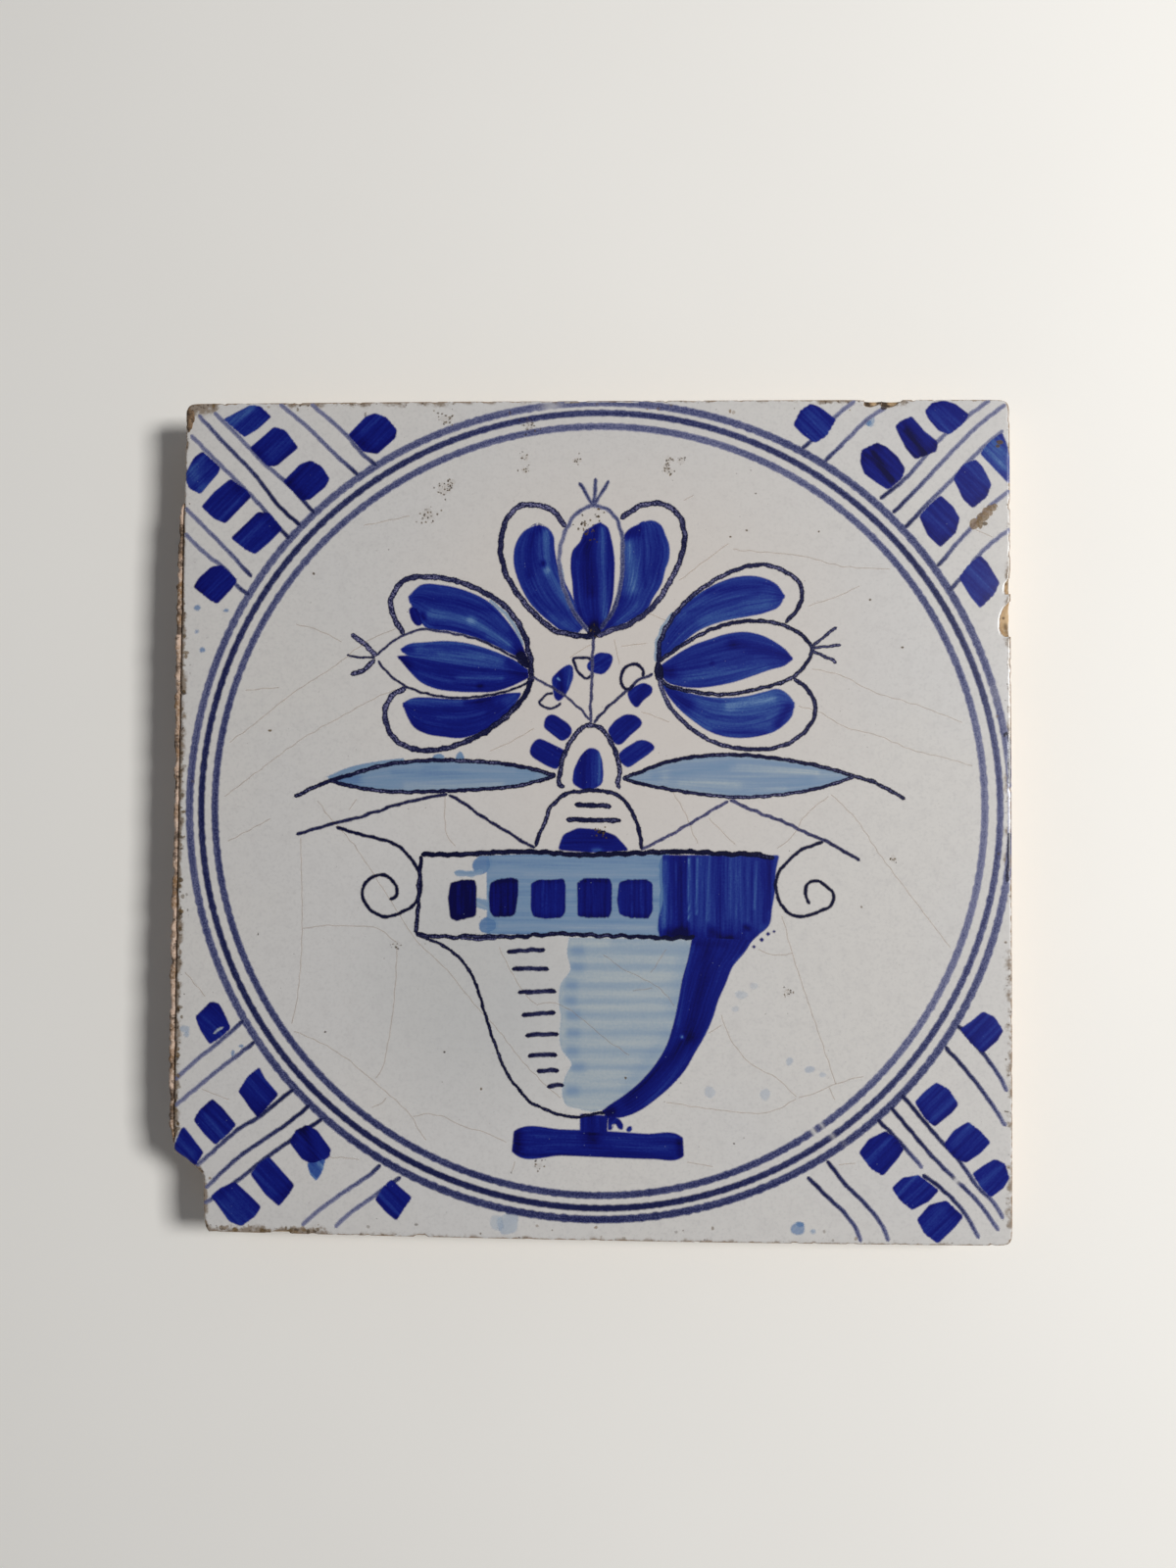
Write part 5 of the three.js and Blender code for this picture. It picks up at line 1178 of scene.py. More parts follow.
put_down("left_tulip_petals", "cobalt_paint", cobalt, [
    fill([-28.9, 34.4, -27, 36.2, -23.4, 36.2, -19.7, 35.3, -16.1, 33.5, -13.4, 30.7, -11.5, 28,
         -9.9, 24.6],
        [-28.6, 33.4, -27.6, 31.4, -25.8, 29.3, -22.7, 29, -19.3, 28.2, -16, 27, -13.3, 25.7,
         -10.2, 24.2], 0.53,
        [(-27.5, 34, -16, 32.4, 0.8, -0.14), (-25.4, 31.6, -19, 30.6, 0.7, 0.26),
         (-19, 30.6, -13, 27, 0.7, 0.26), (-24.5, 29.7, -17, 28.4, 0.45, -0.14),
         (-26.6, 31.6, -26.4, 31, 0.4, -0.3), (-12.6, 28.6, -10.6, 25.4, 0.7, -0.2),
         (-11.2, 25.2, -10.6, 24.6, 0.9, -0.5), (-24, 35.6, -14, 32.2, 0.3, 0.1)]),
    blot([-28.9, 32.6, -28.4, 30.6, -27.4, 29.6, -26.6, 29.9, -26.7, 31.6, -27.4, 33], 0.28, turn=110),
    fill([-30.1, 26.1, -29, 26.8, -26, 27.2, -22.7, 27.4, -19.3, 27, -16.7, 26.3, -14, 25.3,
         -11.7, 24.2, -9.9, 22.9],
        [-29.7, 25.6, -28.7, 24.9, -26, 24.3, -22, 23.6, -18, 23, -14, 22.6, -9.9, 22.1], 0.66,
        [(-29.6, 26, -28.4, 26, 0.6, -0.25), (-26, 26.6, -16, 26, 0.3, -0.1),
         (-24, 25.4, -17, 24.8, 0.3, 0.12), (-13, 23.9, -10.6, 22.6, 0.8, -0.35)]),
    fill([-30.7, 25, -29.3, 25.1, -28, 25, -24, 24.3, -19, 23.6, -14, 23.1, -9.9, 22.6],
        [-30.3, 24.6, -28.7, 22.7, -26.7, 20.8, -24.3, 19.8, -21.3, 19.4, -18, 19.3, -15.3, 19.4,
         -12.7, 20.2, -9.8, 21.6], 0.4,
        [(-30, 24.6, -28.8, 23.4, 0.8, -0.25), (-21, 21.6, -14, 21.5, 0.35, 0.26),
         (-17.6, 20.3, -17.3, 20.3, 0.4, -0.35), (-12.6, 23, -10.4, 22.2, 0.9, -0.3),
         (-27, 22.4, -22, 21, 0.3, 0.12)]),
    fill([-29.6, 17.6, -28.3, 18.3, -25.7, 18.5, -22.7, 18.3, -18.7, 18.3, -16, 18.7, -13.3, 19.2,
         -11.2, 19.3],
        [-29.5, 17, -28.8, 15.3, -27.7, 13.7, -25.7, 12.7, -23.3, 12.3, -20.3, 12.1, -16.7, 13.3,
         -14, 15.3, -12, 17.3, -11, 19], 0.37,
        [(-28.6, 17.9, -20.5, 17.7, 0.6, 0.3), (-17.6, 17.6, -16, 17.8, 0.8, -0.2),
         (-13, 17.8, -12, 18.4, 0.9, 0.24), (-24, 15.2, -17, 16, 0.4, 0.12),
         (-28, 14.6, -26.4, 13.4, 0.6, -0.12)]),
], "left_tulip_petal_upper", "left_tulip_petal_middle", "left_tulip_petal_lower")
put_down("right_tulip_petals", "cobalt_paint", cobalt, [
    fill([30, 34.6, 28.9, 36.2, 26.2, 37.5, 22.5, 37.5, 18.9, 36.2, 15.3, 33.9, 12.6, 31.4, 11, 28.8,
         10.3, 26.4, 10.1, 24.4],
        [29.9, 34.2, 29.3, 33, 27.1, 31.9, 23.9, 31.2, 20.4, 30.5, 16.8, 29.1, 13.2, 26.2, 10.5, 24.2],
        0.6,
        [(27, 33, 17, 30.6, 0.8, 0.12), (28, 36.4, 18, 35.2, 0.6, -0.14),
         (13, 30, 10.8, 25.4, 0.9, -0.12), (26, 35, 15, 32, 0.25, -0.14),
         (29, 35.6, 29.4, 34.4, 0.8, -0.12)]),
    fill([31.2, 24.9, 30.4, 25.9, 28.6, 27.3, 26.4, 28.4, 23.9, 28.9, 21.1, 28.6, 18.6, 27.8,
         15.7, 26.75, 13.2, 25.3, 10.7, 23.6],
        [31.2, 24.5, 30, 23.6, 27.9, 23, 25.4, 22.1, 22.1, 21, 19.3, 20.4, 16.8, 20.1, 13.9, 20.3,
         11.8, 21, 10.6, 22.4], 0.56,
        [(13, 24.4, 22, 26.8, 0.8, -0.14), (22, 26.9, 30.6, 25, 0.9, -0.24),
         (15, 21.8, 27, 23.6, 0.7, 0.12), (12.4, 22.6, 11, 22.8, 1, -0.34),
         (18.7, 24, 18.9, 24, 0.3, -0.3), (14, 22.8, 25, 25, 0.25, -0.1)]),
    fill([31.5, 17.9, 30.9, 18.8, 29, 20, 27.1, 19.6, 24.3, 18.9, 21.4, 18.6, 18.6, 18.7, 15.7, 19.25,
         12.9, 20, 11, 20.9],
        [31.5, 17.1, 31.25, 15.9, 30, 14.4, 28.6, 13.4, 26.1, 12.6, 22.9, 12.3, 20.4, 12.6, 18.2, 13.4,
         16.1, 14.8, 13.9, 16.6, 12.1, 18.7, 11, 20.5], 0.67,
        [(12.4, 19.6, 15, 17.6, 1.2, -0.32), (21.5, 17.2, 28, 18.4, 0.9, 0.28),
         (30.6, 17, 29, 14.6, 0.8, -0.34), (27, 13, 19, 13.2, 0.5, -0.2),
         (18, 15.6, 27, 15.4, 0.25, -0.12)]),
], "right_tulip_petal_upper", "right_tulip_petal_middle", "right_tulip_petal_lower")
put_down("top_tulip_drawing", "outline_paint", rope_line, [
    stroke([-4.1, 45.3, -6.5, 48.1, -9.2, 48.9, -12, 48.4, -13.8, 45.8, -14.4, 42.4, -13.7, 38.4,
         -12, 35.3, -9.1, 31.8, -5.4, 28.9, -3.1, 28.4, 0.8, 28], 0.92, (0.3, 0.25, 0.15, 0.05)),
    stroke([4.3, 46.6, 7.6, 48.7, 10.2, 49.1, 13.1, 47.7, 14.4, 44.6, 13.9, 40.6, 12.4, 37.2, 9.4, 32.7,
         5.7, 30, 2, 28.7, 0.8, 28], 0.9, (0.25, 0.15, 0.3, 0.4)),
    blot([-0.9, 28.4, -0.5, 29.6, 0.3, 30.2, 1.1, 29.5, 1.6, 28.6, 0.4, 27.9], -0.2, lift=LINE_LIFT),
], "top_tulip_outline")
put_down("top_tulip_violet_lines", "outline_paint", ring_paint, [
    stroke([-0.5, 28.8, -2.8, 32, -4.6, 36.5, -5.1, 41.6, -4, 45.2, -2.4, 47.6, 0, 48.7, 2.4, 48.1,
         4.3, 45.4, 4.75, 41, 4.4, 36, 3.2, 32, 1.3, 29.2], 0.64, (0.3, 0.6, 0.75, 0.6, 0.5, 0.5, 0.2)),
    stroke([0.2, 48.6, -0.8, 50.3, -2.2, 52.5], 0.58, (0.5, 0.3)),
    stroke([0.2, 48.6, 0.35, 50.8, 0.45, 53.2], 0.6, (0.5, 0.35)),
    stroke([0.2, 48.6, 1.3, 50.6, 2.64, 52.8], 0.56, (0.5, 0.3)),
], "top_tulip_outline")
put_down("left_tulip_drawing", "outline_paint", rope_line, [
    stroke([-29.5, 28.3, -31.2, 31.3, -31.7, 33.2, -31, 35.4, -29.3, 37.1, -26.1, 37.5, -22, 37,
         -16.5, 34.8, -13.9, 33.1, -12, 30.9, -10.7, 28.7, -9.8, 25.6, -9.4, 22.6, -9.6, 20.5], 0.9,
        (0.2, 0.3, 0.2, 0.05)),
    stroke([-9.5, 22, -9.9, 19.8, -11, 18, -14.3, 14.7, -16.7, 13, -19.3, 11.7, -22, 10.7, -26.7, 10.2,
         -30.3, 11.5, -32, 13.8, -32.4, 16, -32, 17.7, -30.7, 19.2, -29, 20], 0.9,
        (0.05, 0.1, 0.25, 0.25)),
    stroke([-38, 28.5, -35.8, 26.9, -33.8, 24.9], 0.85, 0.35),
    stroke([-38.7, 25.2, -36, 24.7, -33.9, 24.8], 0.36, 0.3),
    stroke([-38, 22, -36, 22.7, -34, 24.5], 0.8, 0.2),
    blot([-12.1, 25.3, -10.8, 25.9, -9.9, 24.6, -9.7, 23, -10.6, 23.3, -11.5, 24], -0.25,
        lift=LINE_LIFT),
], "left_tulip_outline")
put_down("left_tulip_fine_lines", "outline_paint", fine_line, [
    stroke([-33.8, 25, -32.3, 26.5, -29.7, 28.2, -26.7, 29.2, -23.3, 28.8, -20, 28.2, -16.7, 27.2,
         -14, 25.8, -12, 24.8, -10, 23.3], 0.42, (0.35, 0.45, 0.1)),
    stroke([-33.7, 24.3, -32, 22.3, -29.3, 20.3, -26.7, 19.3, -24, 18.7, -20.7, 18.4, -17.3, 18.7,
         -14, 19.3, -11.3, 20.2, -9.7, 21], 0.42, (0.3, 0.2, 0.05)),
], "left_tulip_outline")
put_down("right_tulip_drawing", "outline_paint", rope_line, [
    stroke([9.9, 22.2, 10.5, 24.4, 10.5, 26.6, 11.25, 28.7, 14.1, 33, 18.5, 36.6, 22.5, 38.6,
         26.6, 39.4, 30.3, 38.2, 32.5, 36.2, 32.5, 33.5, 31.4, 31.6, 30, 30.3], 0.72,
        (0.1, 0.2, 0.25, 0.15)),
    stroke([10.5, 24.2, 14.3, 26.9, 19.3, 29.5, 22.1, 30.3, 25, 30.6, 30.4, 29.7, 33.2, 27.9,
         34.3, 26.2, 33.4, 24, 31.4, 21.9, 29.3, 20.9, 26.4, 20.1, 20.7, 19.1, 15, 19.7, 12.1, 20.4,
         10, 21.9], 0.66, (0.2, 0.05, 0.1, 0.1)),
    stroke([31.4, 21.75, 34.1, 19.25, 34.8, 16.4, 33.2, 13.4, 29.6, 11.1, 24.3, 10.6, 19.3, 11.6,
         15, 14.25, 11.8, 18, 10.5, 21.5], 0.7, (0.2, 0.25, 0.25, 0.5)),
    stroke([34.3, 26.6, 36.2, 28.2, 38.2, 29.7], 0.5, 0.35),
    stroke([34.3, 26.4, 36.5, 26.6, 38.9, 26.9], 0.48, 0.35),
    stroke([34.2, 26, 36, 25.2, 38.2, 24], 0.55, 0.3),
    blot([9.8, 22.9, 10.6, 24.2, 11.2, 23.2, 11.3, 21.6, 10.5, 20.9, 9.9, 21.8], -0.1, lift=LINE_LIFT),
], "right_tulip_outline")
put_down("bleeding_blue", "thin_wash", wash, [
    stroke([10.1, 24, 10.15, 27, 11, 29.4, 12.8, 32], 0.5, 0.75, WASH_LIFT),
    stroke([10.6, 20.4, 12, 17.3, 14.4, 14.8, 17, 12.9], 0.4, 0.85, WASH_LIFT),
    stroke([4.5, 34, 4.2, 31.4, 2.4, 28.9], 0.7, 0.4, WASH_LIFT),
    stroke([-5.2, 40, -4.4, 35.6, -2.6, 31.6], 0.7, 0.5, WASH_LIFT),
    stroke([-16.2, 33.9, -12.8, 30.8, -10.7, 26.6], 0.6, 0.75, WASH_LIFT),
])


# Stems, knots, leaflets and bud: three thin stems with a small loop on each meet over the bud, and
# short fat touches of the full brush make the knots on the stems and the four leaflets.
put_down("stem_lines", "outline_paint", fine_line, [
    stroke([0.3, 28, 0.15, 25, 0.05, 20.3, -0.1, 16.6, 0, 14.5], 0.5, 0.55),
    stroke([-9.3, 21.8, -7.4, 20.8, -5.8, 19.9, -3.7, 18.5, -1.8, 16.8, -0.1, 14.9], 0.42, 0.5),
    stroke([9.7, 22.4, 8.9, 21.9, 7.8, 21.6, 6, 20, 3.2, 17.6, 1.6, 16, 0.3, 14.5], 0.5, 0.4),
    stroke([0.1, 24.5, -1.05, 24.8, -2.8, 24.5, -2.4, 23.2, -1.6, 22, -0.9, 21.6, 0.1, 22], 0.48, 0.2),
    stroke([8.1, 21.7, 8, 22.9, 7, 23.8, 5.8, 23.6, 4.9, 22.7, 4.6, 21.4, 5, 20.2, 6, 19.9, 6.7, 20.7],
        0.54, 0.1),
    stroke([-5.8, 19.2, -6.8, 19.1, -7.6, 18.4, -8.2, 17.8, -7.4, 17.1, -6.3, 16.8, -5.3, 17.2,
         -4.7, 17.9], 0.42, 0.25),
], "stems")
put_down("knots_and_leaflets", "cobalt_paint", cobalt, [
    blot([-6.3, 21.6, -5.1, 22.8, -3.7, 23.8, -2.9, 23.6, -2.8, 21.8, -3.4, 20, -4.2, 18.7, -5.1, 17.8,
         -5.8, 18.4, -6.1, 20.2], 0.46,
        [(-4.9, 22.4, -4.6, 19, 0.5, -0.25), (-3.3, 22.8, -3.6, 20.6, 0.4, 0.16),
         (-5.2, 21.5, -5, 21.3, 0.2, 0.9)], turn=80),
    blot([-0.8, 23.7, 0.5, 25.3, 1.3, 25.7, 3.2, 25.4, 3.4, 24.6, 2.9, 23.2, 1.8, 22.1, 0.3, 22.4,
         -0.7, 22.9], 0.46, [(1, 24, 2.6, 23.8, 0.6, -0.1)], turn=30),
    blot([5.5, 19.5, 6.6, 20.3, 8.2, 21, 9.6, 20.3, 9.5, 19.2, 8.2, 18.2, 7.1, 16.8, 6, 17.9], 0.42,
        [(7.2, 18, 8.4, 20.3, 0.7, -0.15)], turn=40),
    blot([-6.3, 16, -5.4, 15.7, -3.7, 14.6, -2.9, 13.6, -3.2, 12.4, -4.5, 11.6, -5.8, 12.5, -7.5, 13.9,
         -7.2, 15.4], 0.34, turn=-35),
    blot([-8.2, 12.2, -6.3, 11.4, -4.5, 10.5, -3.4, 9.9, -4.5, 8.4, -5.3, 7.2, -7.1, 7.9, -9.2, 9.2,
         -9.7, 10, -9.2, 11.4], 0.34, turn=-30),
    blot([5.3, 16, 6.8, 15.9, 7.9, 15.1, 8, 14.3, 6.1, 12.6, 4.6, 11.05, 3.6, 11.3, 2.9, 12.6,
         2.5, 13.4, 3.7, 15], 0.37, turn=40),
    blot([7.5, 12, 8.7, 11.9, 9.7, 11.3, 10.1, 10.7, 8.7, 9.5, 6.8, 8.2, 5.8, 7.5, 4.6, 8.4, 4.2, 9.7,
         5.3, 10.7], 0.42, turn=35),
], "stem_knot_left", "stem_knot_middle", "stem_knot_right", "leaflet_upper_left", "leaflet_lower_left",
    "leaflet_upper_right", "leaflet_lower_right")
put_down("bud_and_dome_fill", "cobalt_paint", cobalt, [
    blot([0.1, 10.8, 0.7, 10.5, 1.2, 10.4, 1.8, 8.7, 2, 6.6, 1.8, 5, -0.2, 3.8, -1.5, 4.2, -2.9, 5.1,
         -2.7, 7.2, -1.8, 9.2, -0.8, 10.4], 0.46,
        [(-1, 10, -1.3, 5, 1.0, -0.2), (1.3, 9.6, 1.3, 5.4, 0.5, 0.26)], turn=90),
    blot([-5.1, -5.3, -4.3, -2.9, -2, -1.8, 1.2, -2, 3.9, -2.9, 6.1, -5.3, 0.5, -5.7], 0.32,
        [(-3.5, -3.4, 3, -3.2, 0.9, -0.1), (0.6, -5.3, 1.4, -5.2, 0.5, 0.4)], turn=0),
], "bud", "dome_fill")
put_down("bud_and_dome_drawing", "outline_paint", rope_line, [
    stroke([-4, 4.4, -4.8, 5, -4.7, 7.4, -4.3, 9.2, -2.9, 12.1, -1.8, 13.4, -0.6, 14.2, 0.5, 14.2,
         1.6, 13.6, 2.4, 12.8, 3.4, 11, 4.1, 9.2, 4.5, 7.4, 4.3, 5, 4.5, 4.2], 0.78, 0.2),
    stroke([-8.6, -4.9, -8, -3, -7, -0.7, -6.4, 1.1, -5.3, 2.4, -4, 3.4, -1.5, 3.9, 1.2, 4, 3.9, 3.45,
         5, 2.7, 6.3, 1, 7.2, -1, 7.8, -3.3, 8, -5.2], 0.66, 0.15),
    stroke([-2.6, 1.8, 0.4, 1.7, 3.4, 1.6], 0.8, 0.12),
    stroke([-3.9, -0.5, 0.4, -0.6, 4.9, -0.6], 0.8, 0.12),
    stroke([1, -2.4, 2.5, -2.3], 0.6, 0.0),
], "bud_outline", "dome_outline", "dome_dash_upper", "dome_dash_lower")


# Leaves, branches and scrolls: two long leaves under a thin wash, each with a tail, and below them two
# bent branches that end in small scrolls beside the rim of the vase.
put_down("leaf_wash_films", "thin_wash", wash, [
    fill([-40.6, 5.3, -38, 6.2, -32, 7.9, -25.3, 8.6, -18.7, 8.5, -12, 7.9, -9, 7.3, -5.9, 6.4],
        [-40.6, 5.2, -36.7, 4.3, -29.3, 3.6, -21.3, 3.8, -14, 4.4, -8, 5.5, -5.9, 6.2], 0.42,
        [(-40, 5.4, -37, 5.6, 1.2, -0.5), (-31, 6.6, -9, 6.4, 0.5, -0.22),
         (-29, 4.7, -14, 5, 0.6, 0.26), (-20, 7.4, -12, 7.2, 0.5, 0.18),
         (-26, 7.6, -24, 7.6, 0.6, -0.16)], WASH_LIFT),
    fill([-41.6, 5.9, -38, 7.4, -34, 8.3, -29.5, 8.9],
        [-40.6, 5.3, -38, 6.4, -34, 7.4, -29, 8.4], 0.36, lift=WASH_LIFT),
    blot([-25, 8.7, -24.6, 9.5, -23.6, 9.7, -22.9, 9.2, -22.9, 8.7], 0.2, lift=WASH_LIFT),
    blot([-21.3, 8.6, -21, 9.7, -20.4, 10.1, -19.9, 9.4, -19.8, 8.6], 0.22, lift=WASH_LIFT),
    fill([5, 6, 9.6, 7.8, 12.5, 8.7, 19.3, 9.6, 26.4, 9.5, 33.6, 8.4, 37.1, 7.6, 40.6, 6.6],
        [5, 5.8, 10.4, 4.6, 17.5, 3.5, 24.6, 3.1, 31.8, 3.9, 35.4, 4.6, 40.6, 6.4], 0.6,
        [(10, 6.4, 22, 8.2, 0.6, -0.2), (24, 5, 34, 6, 0.7, -0.2), (11.5, 6.3, 11.6, 6.4, 0.8, 0.26),
         (14, 5.2, 30, 4.6, 0.5, 0.16), (22, 7.6, 35, 7, 0.5, 0.2)], WASH_LIFT),
], "left_leaf_wash", "right_leaf_wash")
put_down("leaf_drawings", "outline_paint", rope_line, [
    stroke([-46.7, 2.7, -44, 4, -41, 5.3, -38, 6.2, -32, 7.9, -28.7, 8.35, -25.3, 8.6, -18.7, 8.5,
         -15.3, 8.3, -12, 7.9, -9, 7.3, -6.7, 6.7, -5.4, 6.3], 0.68, (0.0, 0.1, 0.12, 0.0)),
    stroke([-5.4, 6.3, -8, 5.5, -10.7, 4.8, -17.3, 4.1, -25.3, 3.7, -29.3, 3.6, -33.3, 3.8, -36.7, 4.3,
         -41, 5.3], 0.64, (0.0, 0.16, 0.1)),
    stroke([4.9, 5.9, 7.1, 6.75, 12.5, 8.7, 15.7, 9.3, 22.9, 9.7, 30, 9, 37.1, 7.6, 41.1, 6.4,
         42.9, 5.9, 45, 5, 48.7, 2.9], 0.64, (0.05, 0.12, 0.05, 0.05)),
    stroke([4.9, 5.9, 7.1, 5.3, 13.9, 4, 17.5, 3.5, 22.8, 3.1, 28.2, 3.4, 35.4, 4.6, 40.9, 6.4], 0.58,
        (0.05, 0.25, 0.15)),
], "left_leaf_outline", "right_leaf_outline")
put_down("branches_and_scrolls", "outline_paint", fine_line, [
    stroke([-8.5, -5, -10, -4.3, -13.3, -2.3, -16.7, -0.3, -20, 2, -22.3, 3.3], 0.52, 0.25),
    stroke([-22.3, 3.4, -26.7, 2.5, -30, 1.7, -36.7, -0.5, -40, -1.3, -46.3, -3.2], 0.55, 0.28),
    stroke([-40, -1.9, -36.7, -2.9, -33.3, -3.7, -30.3, -4.7, -28.4, -6.4, -27, -8.4, -26.4, -10.8,
         -26.9, -13.1, -28, -14.4, -30, -15.4, -32, -15.9, -33.7, -15.3, -35, -14, -35.7, -12.3,
         -35.2, -10.8, -34, -9.7, -32.7, -9.3, -31.5, -9.8, -30.3, -11.2, -30.2, -12.6, -31.5, -13.2],
        0.56, (0.05, -0.12)),
    stroke([7.8, -5.2, 11.7, -3.2, 16, -0.7, 18.3, 0.7, 21.5, 2.6], 0.5, 0.6),
    stroke([21.5, 2.7, 26.7, 0.5, 30.3, -0.8, 33.3, -2.3, 36.7, -3.7, 39.3, -5.2, 41.8, -6.6], 0.55,
        (0.6, 0.5, 0.25)),
    stroke([36.2, -3.7, 34.3, -4.3, 32.3, -5.2, 30.7, -6.7, 29.5, -8, 28.8, -9.7, 28.9, -11.7,
         29.5, -13.3, 31.4, -15.1, 33.3, -15.2, 35.3, -14.5, 37, -13.7, 37.7, -12.5, 37.3, -11.3,
         36, -10.2, 34.7, -9.7, 33.7, -10.2, 33.3, -11.3, 33.6, -12.7, 34.1, -13.4], 0.54,
        (0.08, -0.05)),
], "left_branch", "left_scroll", "right_branch")


# Age: fine cracks that run through the glaze with dirt in them, pinholes where bubbles burst in the
# kiln, brown specks and crust along the worn edge, and stray splashes of thin blue.
CRACKS = [
    [-36.3, 45.6, -28.6, 47.2], [-46.9, 30.1, -43, 29, -39.2, 27.1],
    [-57.2, 11.2, -54.8, 12.9, -46.6, 19.4, -40.7, 23.2, -35, 27.5, -30.7, 29.4],
    [-54.8, 19.5, -49, 20],
    [-57.8, 2.6, -53, 6.3, -44, 12.8, -39.5, 15.3, -33, 18.8, -29, 20.3],
    [-16, 10, -12.5, 11.6, -8.7, 13.8],
    [-43, 2.4, -41.3, 0, -37.8, -3.8, -34.2, -8.8, -30.7, -14.1, -26.9, -19.7, -22.5, -23.8,
     -17.8, -29.4, -14.2, -33.2, -10.7, -37.6, -7.2, -41.2, -4.2, -43.8],
    [-22.8, 3.5, -22.8, 0, -22.5, -2.9, -21, -5], [-36.6, 2.6, -38, 0.6], [-3.6, 24.7, 0, 27],
    [13.5, 36.8, 17.6, 40, 21.5, 42.9], [21.8, 41.8, 25.3, 41.5, 33.5, 40.6, 38.2, 39.3, 46.5, 38.7],
    [33.5, 32.9, 38.8, 34.7, 41.8, 36.2], [34.1, 23.2, 38.8, 22.1, 43.5, 19.7, 50.6, 17.5, 57.6, 14.8],
    [32, 17.4, 35.3, 16.4, 39.4, 14.1, 44.1, 12.9, 50, 10.5, 54.7, 9.4, 59.1, 8.1],
    [3.5, 27.9, 4.4, 23.5], [4.4, 26.6, 8.8, 27.1], [8.8, 31.8, 11.8, 30.6], [7.6, 16.5, 12.4, 14.7],
    [37.1, 3.8, 41.2, -0.3, 44.1, -4.7, 50, -12.6, 55.6, -20],
    [12.6, 4.1, 14.7, 0.6, 15.9, -2.4, 16.8, -4.4], [37, 3.5, 33, 0, 31.5, -2.6, 28.8, -5],
    [18.2, 0, 20, -1.8, 22.6, -4.4], [14.1, 49.4, 16, 50.5], [59.4, 45, 62.4, 43.5],
    [-45.5, -3.5, -45.3, -8.8, -45.1, -14.7, -45.4, -25.9, -46, -30.6, -46.6, -32.9],
    [-45.1, -17.9, -41.9, -17.4, -37.8, -17.4, -33, -17.8, -30.1, -20],
    [-30.1, -20.3, -30.2, -24.7, -31.3, -35.3, -32.2, -39.4, -33.2, -41.2],
    [-46.3, -33.8, -42.5, -35.3, -38.4, -37.6, -34.2, -40.9, -30.7, -43.8, -27.8, -46.5, -26, -49.4,
     -25.1, -50.6], [-31.3, -43.8, -32.5, -45, -33.9, -45.6],
    [-27.5, -46.9, -25.4, -46.4, -23.1, -46.6, -19.5, -48.2, -16, -49.1, -12.5, -50.7],
    [-14.2, -20.3, -11.9, -24.7, -9.5, -28.2, -8, -29.4],
    [-8.4, -29.4, -6, -28.9, -3.1, -30, 0, -32.3, 2.9, -34.7, 6.5, -37], [-57.2, -4.4, -50.1, -0.6],
    [-63.6, -24.7, -60.1, -28.8], [-60.7, -43, -56, -44.7], [-40.7, -53.2, -35.4, -53.5],
    [-11.3, -53.2, -11.9, -55.3],
    [29.7, -15, 31.2, -20.6, 32.9, -25.9, 35.3, -32.9, 38.1, -41.2],
    [25.9, -20.3, 28.2, -21.2, 31.5, -20.9],
    [20.3, -30.3, 21.8, -34.1, 25.3, -38.2, 28.8, -40, 32.1, -43.1],
    [32.1, -43.2, 35.3, -42.1, 38.2, -40.8, 42.4, -39.6],
    [11.8, -44, 15.9, -44.6, 20, -45.1, 28.8, -45, 32.1, -43.1], [36.9, -41.2, 37.9, -43.5],
    [18.2, -33.5, 20.6, -32], [2, -21.3, 5, -23.5, 9.5, -25.7, 11.5, -27.1, 13.2, -29.4],
    [6.5, -27, 10, -26.5], [9.4, -24.4, 12, -20.3], [15, -53.1, 19.4, -53.8],
    [38.2, -53.2, 41.2, -52.9],
]
DIRT = ((0.0, ink(44, 34, 28)), (0.5, ink(112, 91, 60)), (1.0, ink(160, 139, 122)))
crack_dirt = paint_material(
    "crack_dirt", DIRT, streak=0, grain=0.3, grain_size=2.5, pool=0, ragged=0.02, soft=0.16, cover=0.58,
)
put_down("glaze_cracks", "grime", crack_dirt, [
    stroke(line, 0.1, 0.84, CRACK_LIFT, tremble=0.05, steady=0.1) for line in CRACKS
])
PINHOLES = [  # place, how many
    (-50.6, 13.2, 1), (-26, 47.4, 6), (-22.2, 52.4, 2), (-23.6, 51.5, 6), (-10.7, 56.4, 2),
    (-10.7, 54.4, 2), (-2.5, 55.9, 2), (-23, 62.5, 5), (-10, 61.5, 5), (11.8, 55.9, 2), (11.5, 54.7, 2),
    (13.8, 55.7, 2), (12, 54.1, 2), (43.2, 33.9, 1), (35.3, 44.6, 1), (24.1, 44.8, 1), (48.2, 26.5, 1),
    (21.6, 43.8, 1), (-52, -18.8, 1), (-41.2, -33.9, 1), (-22.5, -36.8, 1), (-16.7, -42.4, 1),
    (-7.8, -54.1, 2), (-11.9, -55.2, 1), (30.6, -27, 3), (5.7, -40.4, 1), (22.4, -50.2, 1),
    (41.9, -13.7, 1), (46.8, -6.2, 2), (-30.1, -20.1, 2), (25.5, 50.6, 1), (-44, 38, 1),
]
grime = paint_material(
    "brown_grime", DIRT, streak=0, grain=0.4, grain_size=0.5, pool=0, ragged=0.14, soft=0.16, cover=0.85,
)


def spot(x, y, size, tone, lift=SPECK_LIFT, strength=1.0):
    """A small uneven patch: a wavy circle, drawn out one way."""
    turn = np.linspace(0, 2 * math.pi, 9, endpoint=False)
    radius = size * hand.uniform(0.75, 1.2, 9)
    stretch = hand.uniform(0.7, 1.3)
    return blot(np.stack([x + radius * stretch * np.cos(turn), y + radius / stretch * np.sin(turn)], -1),
                tone, lift=lift, strength=strength)


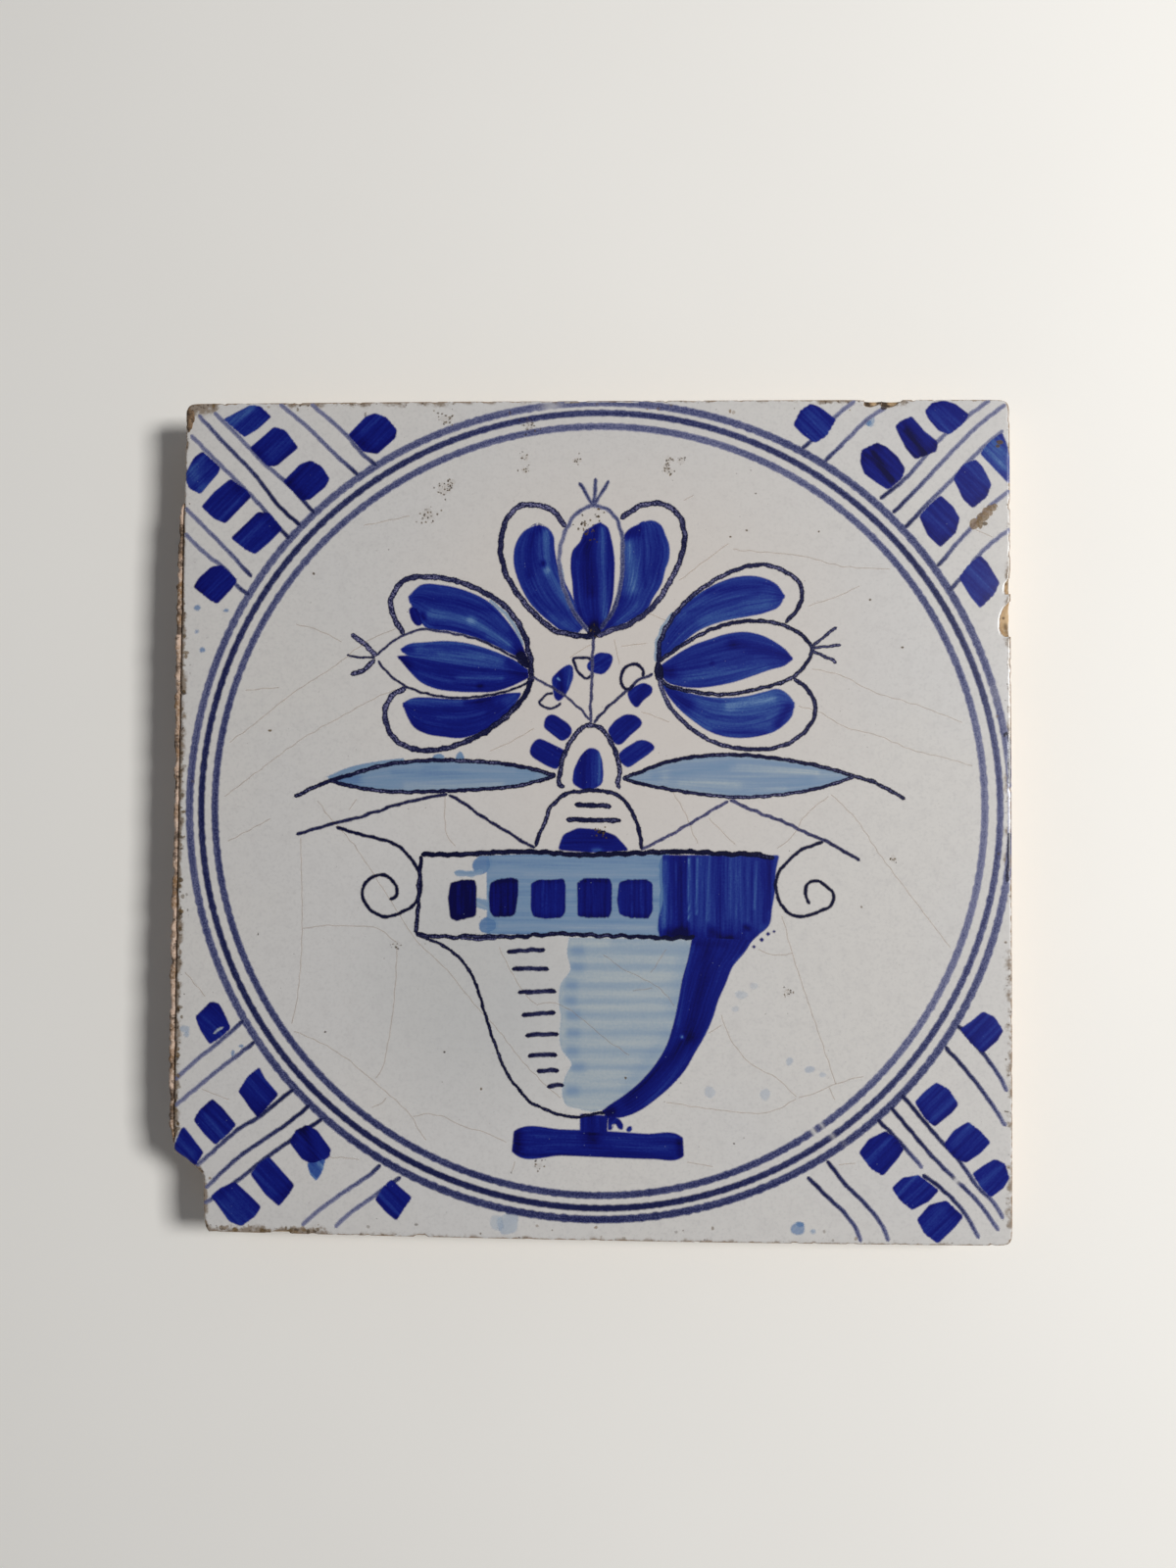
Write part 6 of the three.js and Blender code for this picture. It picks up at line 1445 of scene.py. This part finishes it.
RIM_SPECKS, LEFT_CRUST, BOTTOM_CRUST = 70, 60, 26  # how many
CRUMBS = (  # middle, spread, how many
    (-1.1, 45.6, 1.0, 30), (0.9, 47.6, 0.5, 8), (1.4, -2.5, 0.6, 9), (0.3, 29, 0.5, 6),
)
marks = []
for x, y, count in PINHOLES:
    if count > 1:
        marks.append(spot(x, y, 0.4 + 0.1 * count, 0.6, CRACK_LIFT, 0.13))
    for _ in range(count if count == 1 else 4 * count):
        drift = hand.normal(size=2) * (0.0 if count == 1 else 0.3 + 0.08 * count)
        size = hand.uniform(0.05, 0.17) + 0.08 * (count == 1)
        marks.append(spot(x + drift[0], y + drift[1], size, hand.uniform(0, 0.4)))
for _ in range(RIM_SPECKS):
    angle = hand.uniform(-math.pi, math.pi)
    inward = hand.uniform(0.1, 1.0) ** 2 * 2.2 + 0.15
    away = edge_radius(np.array([angle]))[0] - inward / squareness(angle)
    size, tone = hand.uniform(0.1, 0.3), hand.uniform(0.05, 0.7)
    marks.append(spot(away * math.cos(angle), away * math.sin(angle), size, tone,
                      strength=hand.uniform(0.4, 0.9)))
for _ in range(LEFT_CRUST):
    marks.append(spot(-64.7 + abs(hand.normal()) * 0.35, hand.uniform(-50, 34), hand.uniform(0.15, 0.5),
                      hand.uniform(0.0, 0.6), strength=hand.uniform(0.5, 1)))
for _ in range(BOTTOM_CRUST):
    marks.append(spot(hand.uniform(-59, -42), -64.9 + abs(hand.normal()) * 0.3, hand.uniform(0.15, 0.45),
                      hand.uniform(0.2, 0.7), strength=hand.uniform(0.5, 1)))
for x, y, spread, count in CRUMBS:
    for _ in range(count):
        drift = hand.normal(size=2) * spread
        marks.append(spot(x + drift[0], y + drift[1], hand.uniform(0.1, 0.24), hand.uniform(0, 0.35)))
SPALLS = [  # place, size, tone
    (59.4, 45.7, 0.85, 0.62), (60.1, 46.1, 0.8, 0.55), (60.7, 46.9, 0.85, 0.6), (61.3, 47.6, 0.85, 0.7),
    (61.9, 48.2, 0.7, 0.62), (62.5, 48.6, 0.4, 0.6), (60.9, 45.8, 0.4, 0.3), (63.3, 58.5, 0.5, 0.3),
    (62.9, 57.9, 0.3, 0.2), (-60.4, 65, 0.4, 0.4), (45.4, 64.1, 0.5, 0.05), (45, 64.7, 0.35, 0.05),
    (46, 64.6, 0.3, 0.1),
]
marks += [spot(*spall) for spall in SPALLS]
put_down("specks_and_crust", "grime", grime, marks)
splashes = [spot(x, y, size, tone, WASH_LIFT, strength) for x, y, size, tone, strength in (
    (30.9, -37.5, 0.6, 0.3, 0.35), (34, -38.7, 0.7, 0.2, 0.35), (36, -39.5, 0.5, 0.3, 0.3),
    (18.7, -42.4, 0.9, 0.6, 0.3), (27.2, -42.6, 0.9, 0.6, 0.3), (23.5, -27.4, 0.8, 0.6, 0.3),
    (25.4, -26, 0.6, 0.6, 0.25), (22.6, -29.6, 0.5, 0.6, 0.25), (-62.5, 32.6, 0.5, -0.2, 0.8),
    (-57.9, 32.2, 0.35, -0.2, 0.8), (-61.6, 25.9, 0.45, -0.2, 0.8), (-62.5, 28.8, 0.35, -0.1, 0.6),
    (-63.4, -33.8, 0.7, 0.4, 0.45), (-63.1, -34.6, 0.5, 0.4, 0.45), (32.2, -62.9, 1.1, 0.0, 0.75),
    (34.6, -63.4, 0.4, 0.3, 0.6), (-12.3, -63.1, 1.9, 0.75, 0.5), (-14, -62.9, 1.2, 0.7, 0.4),
    (43.4, 62, 0.8, 0.3, 0.6), (43, 61.7, 0.5, -0.4, 0.9), (32.6, -62.4, 0.5, -0.3, 0.8),
    (-55.7, -37.4, 0.4, -0.4, 0.8), (-54.4, -36.3, 0.32, -0.4, 0.8),
)]
splashes += [
    stroke([0.8, -22.6, 5.2, -16.9, 9.7, -11.1], -0.1, 1.0, SPECK_LIFT),
    stroke([-58.9, -34.4, -57.2, -33.3], 0.3, 1.4, SPECK_LIFT),
]
put_down("blue_splashes", "thin_wash", wash, splashes)
put_down("right_edge_touches", "outline_paint", rope_line, [
    stroke([63.6, 12.6, 64.2, 13.3, 64.5, 12.4, 64.55, 9, 64.6, 5.2], 0.42, 0.0),
    stroke([64.5, -2, 64.4, -6, 64.15, -9.8], 0.5, 0.0),
])
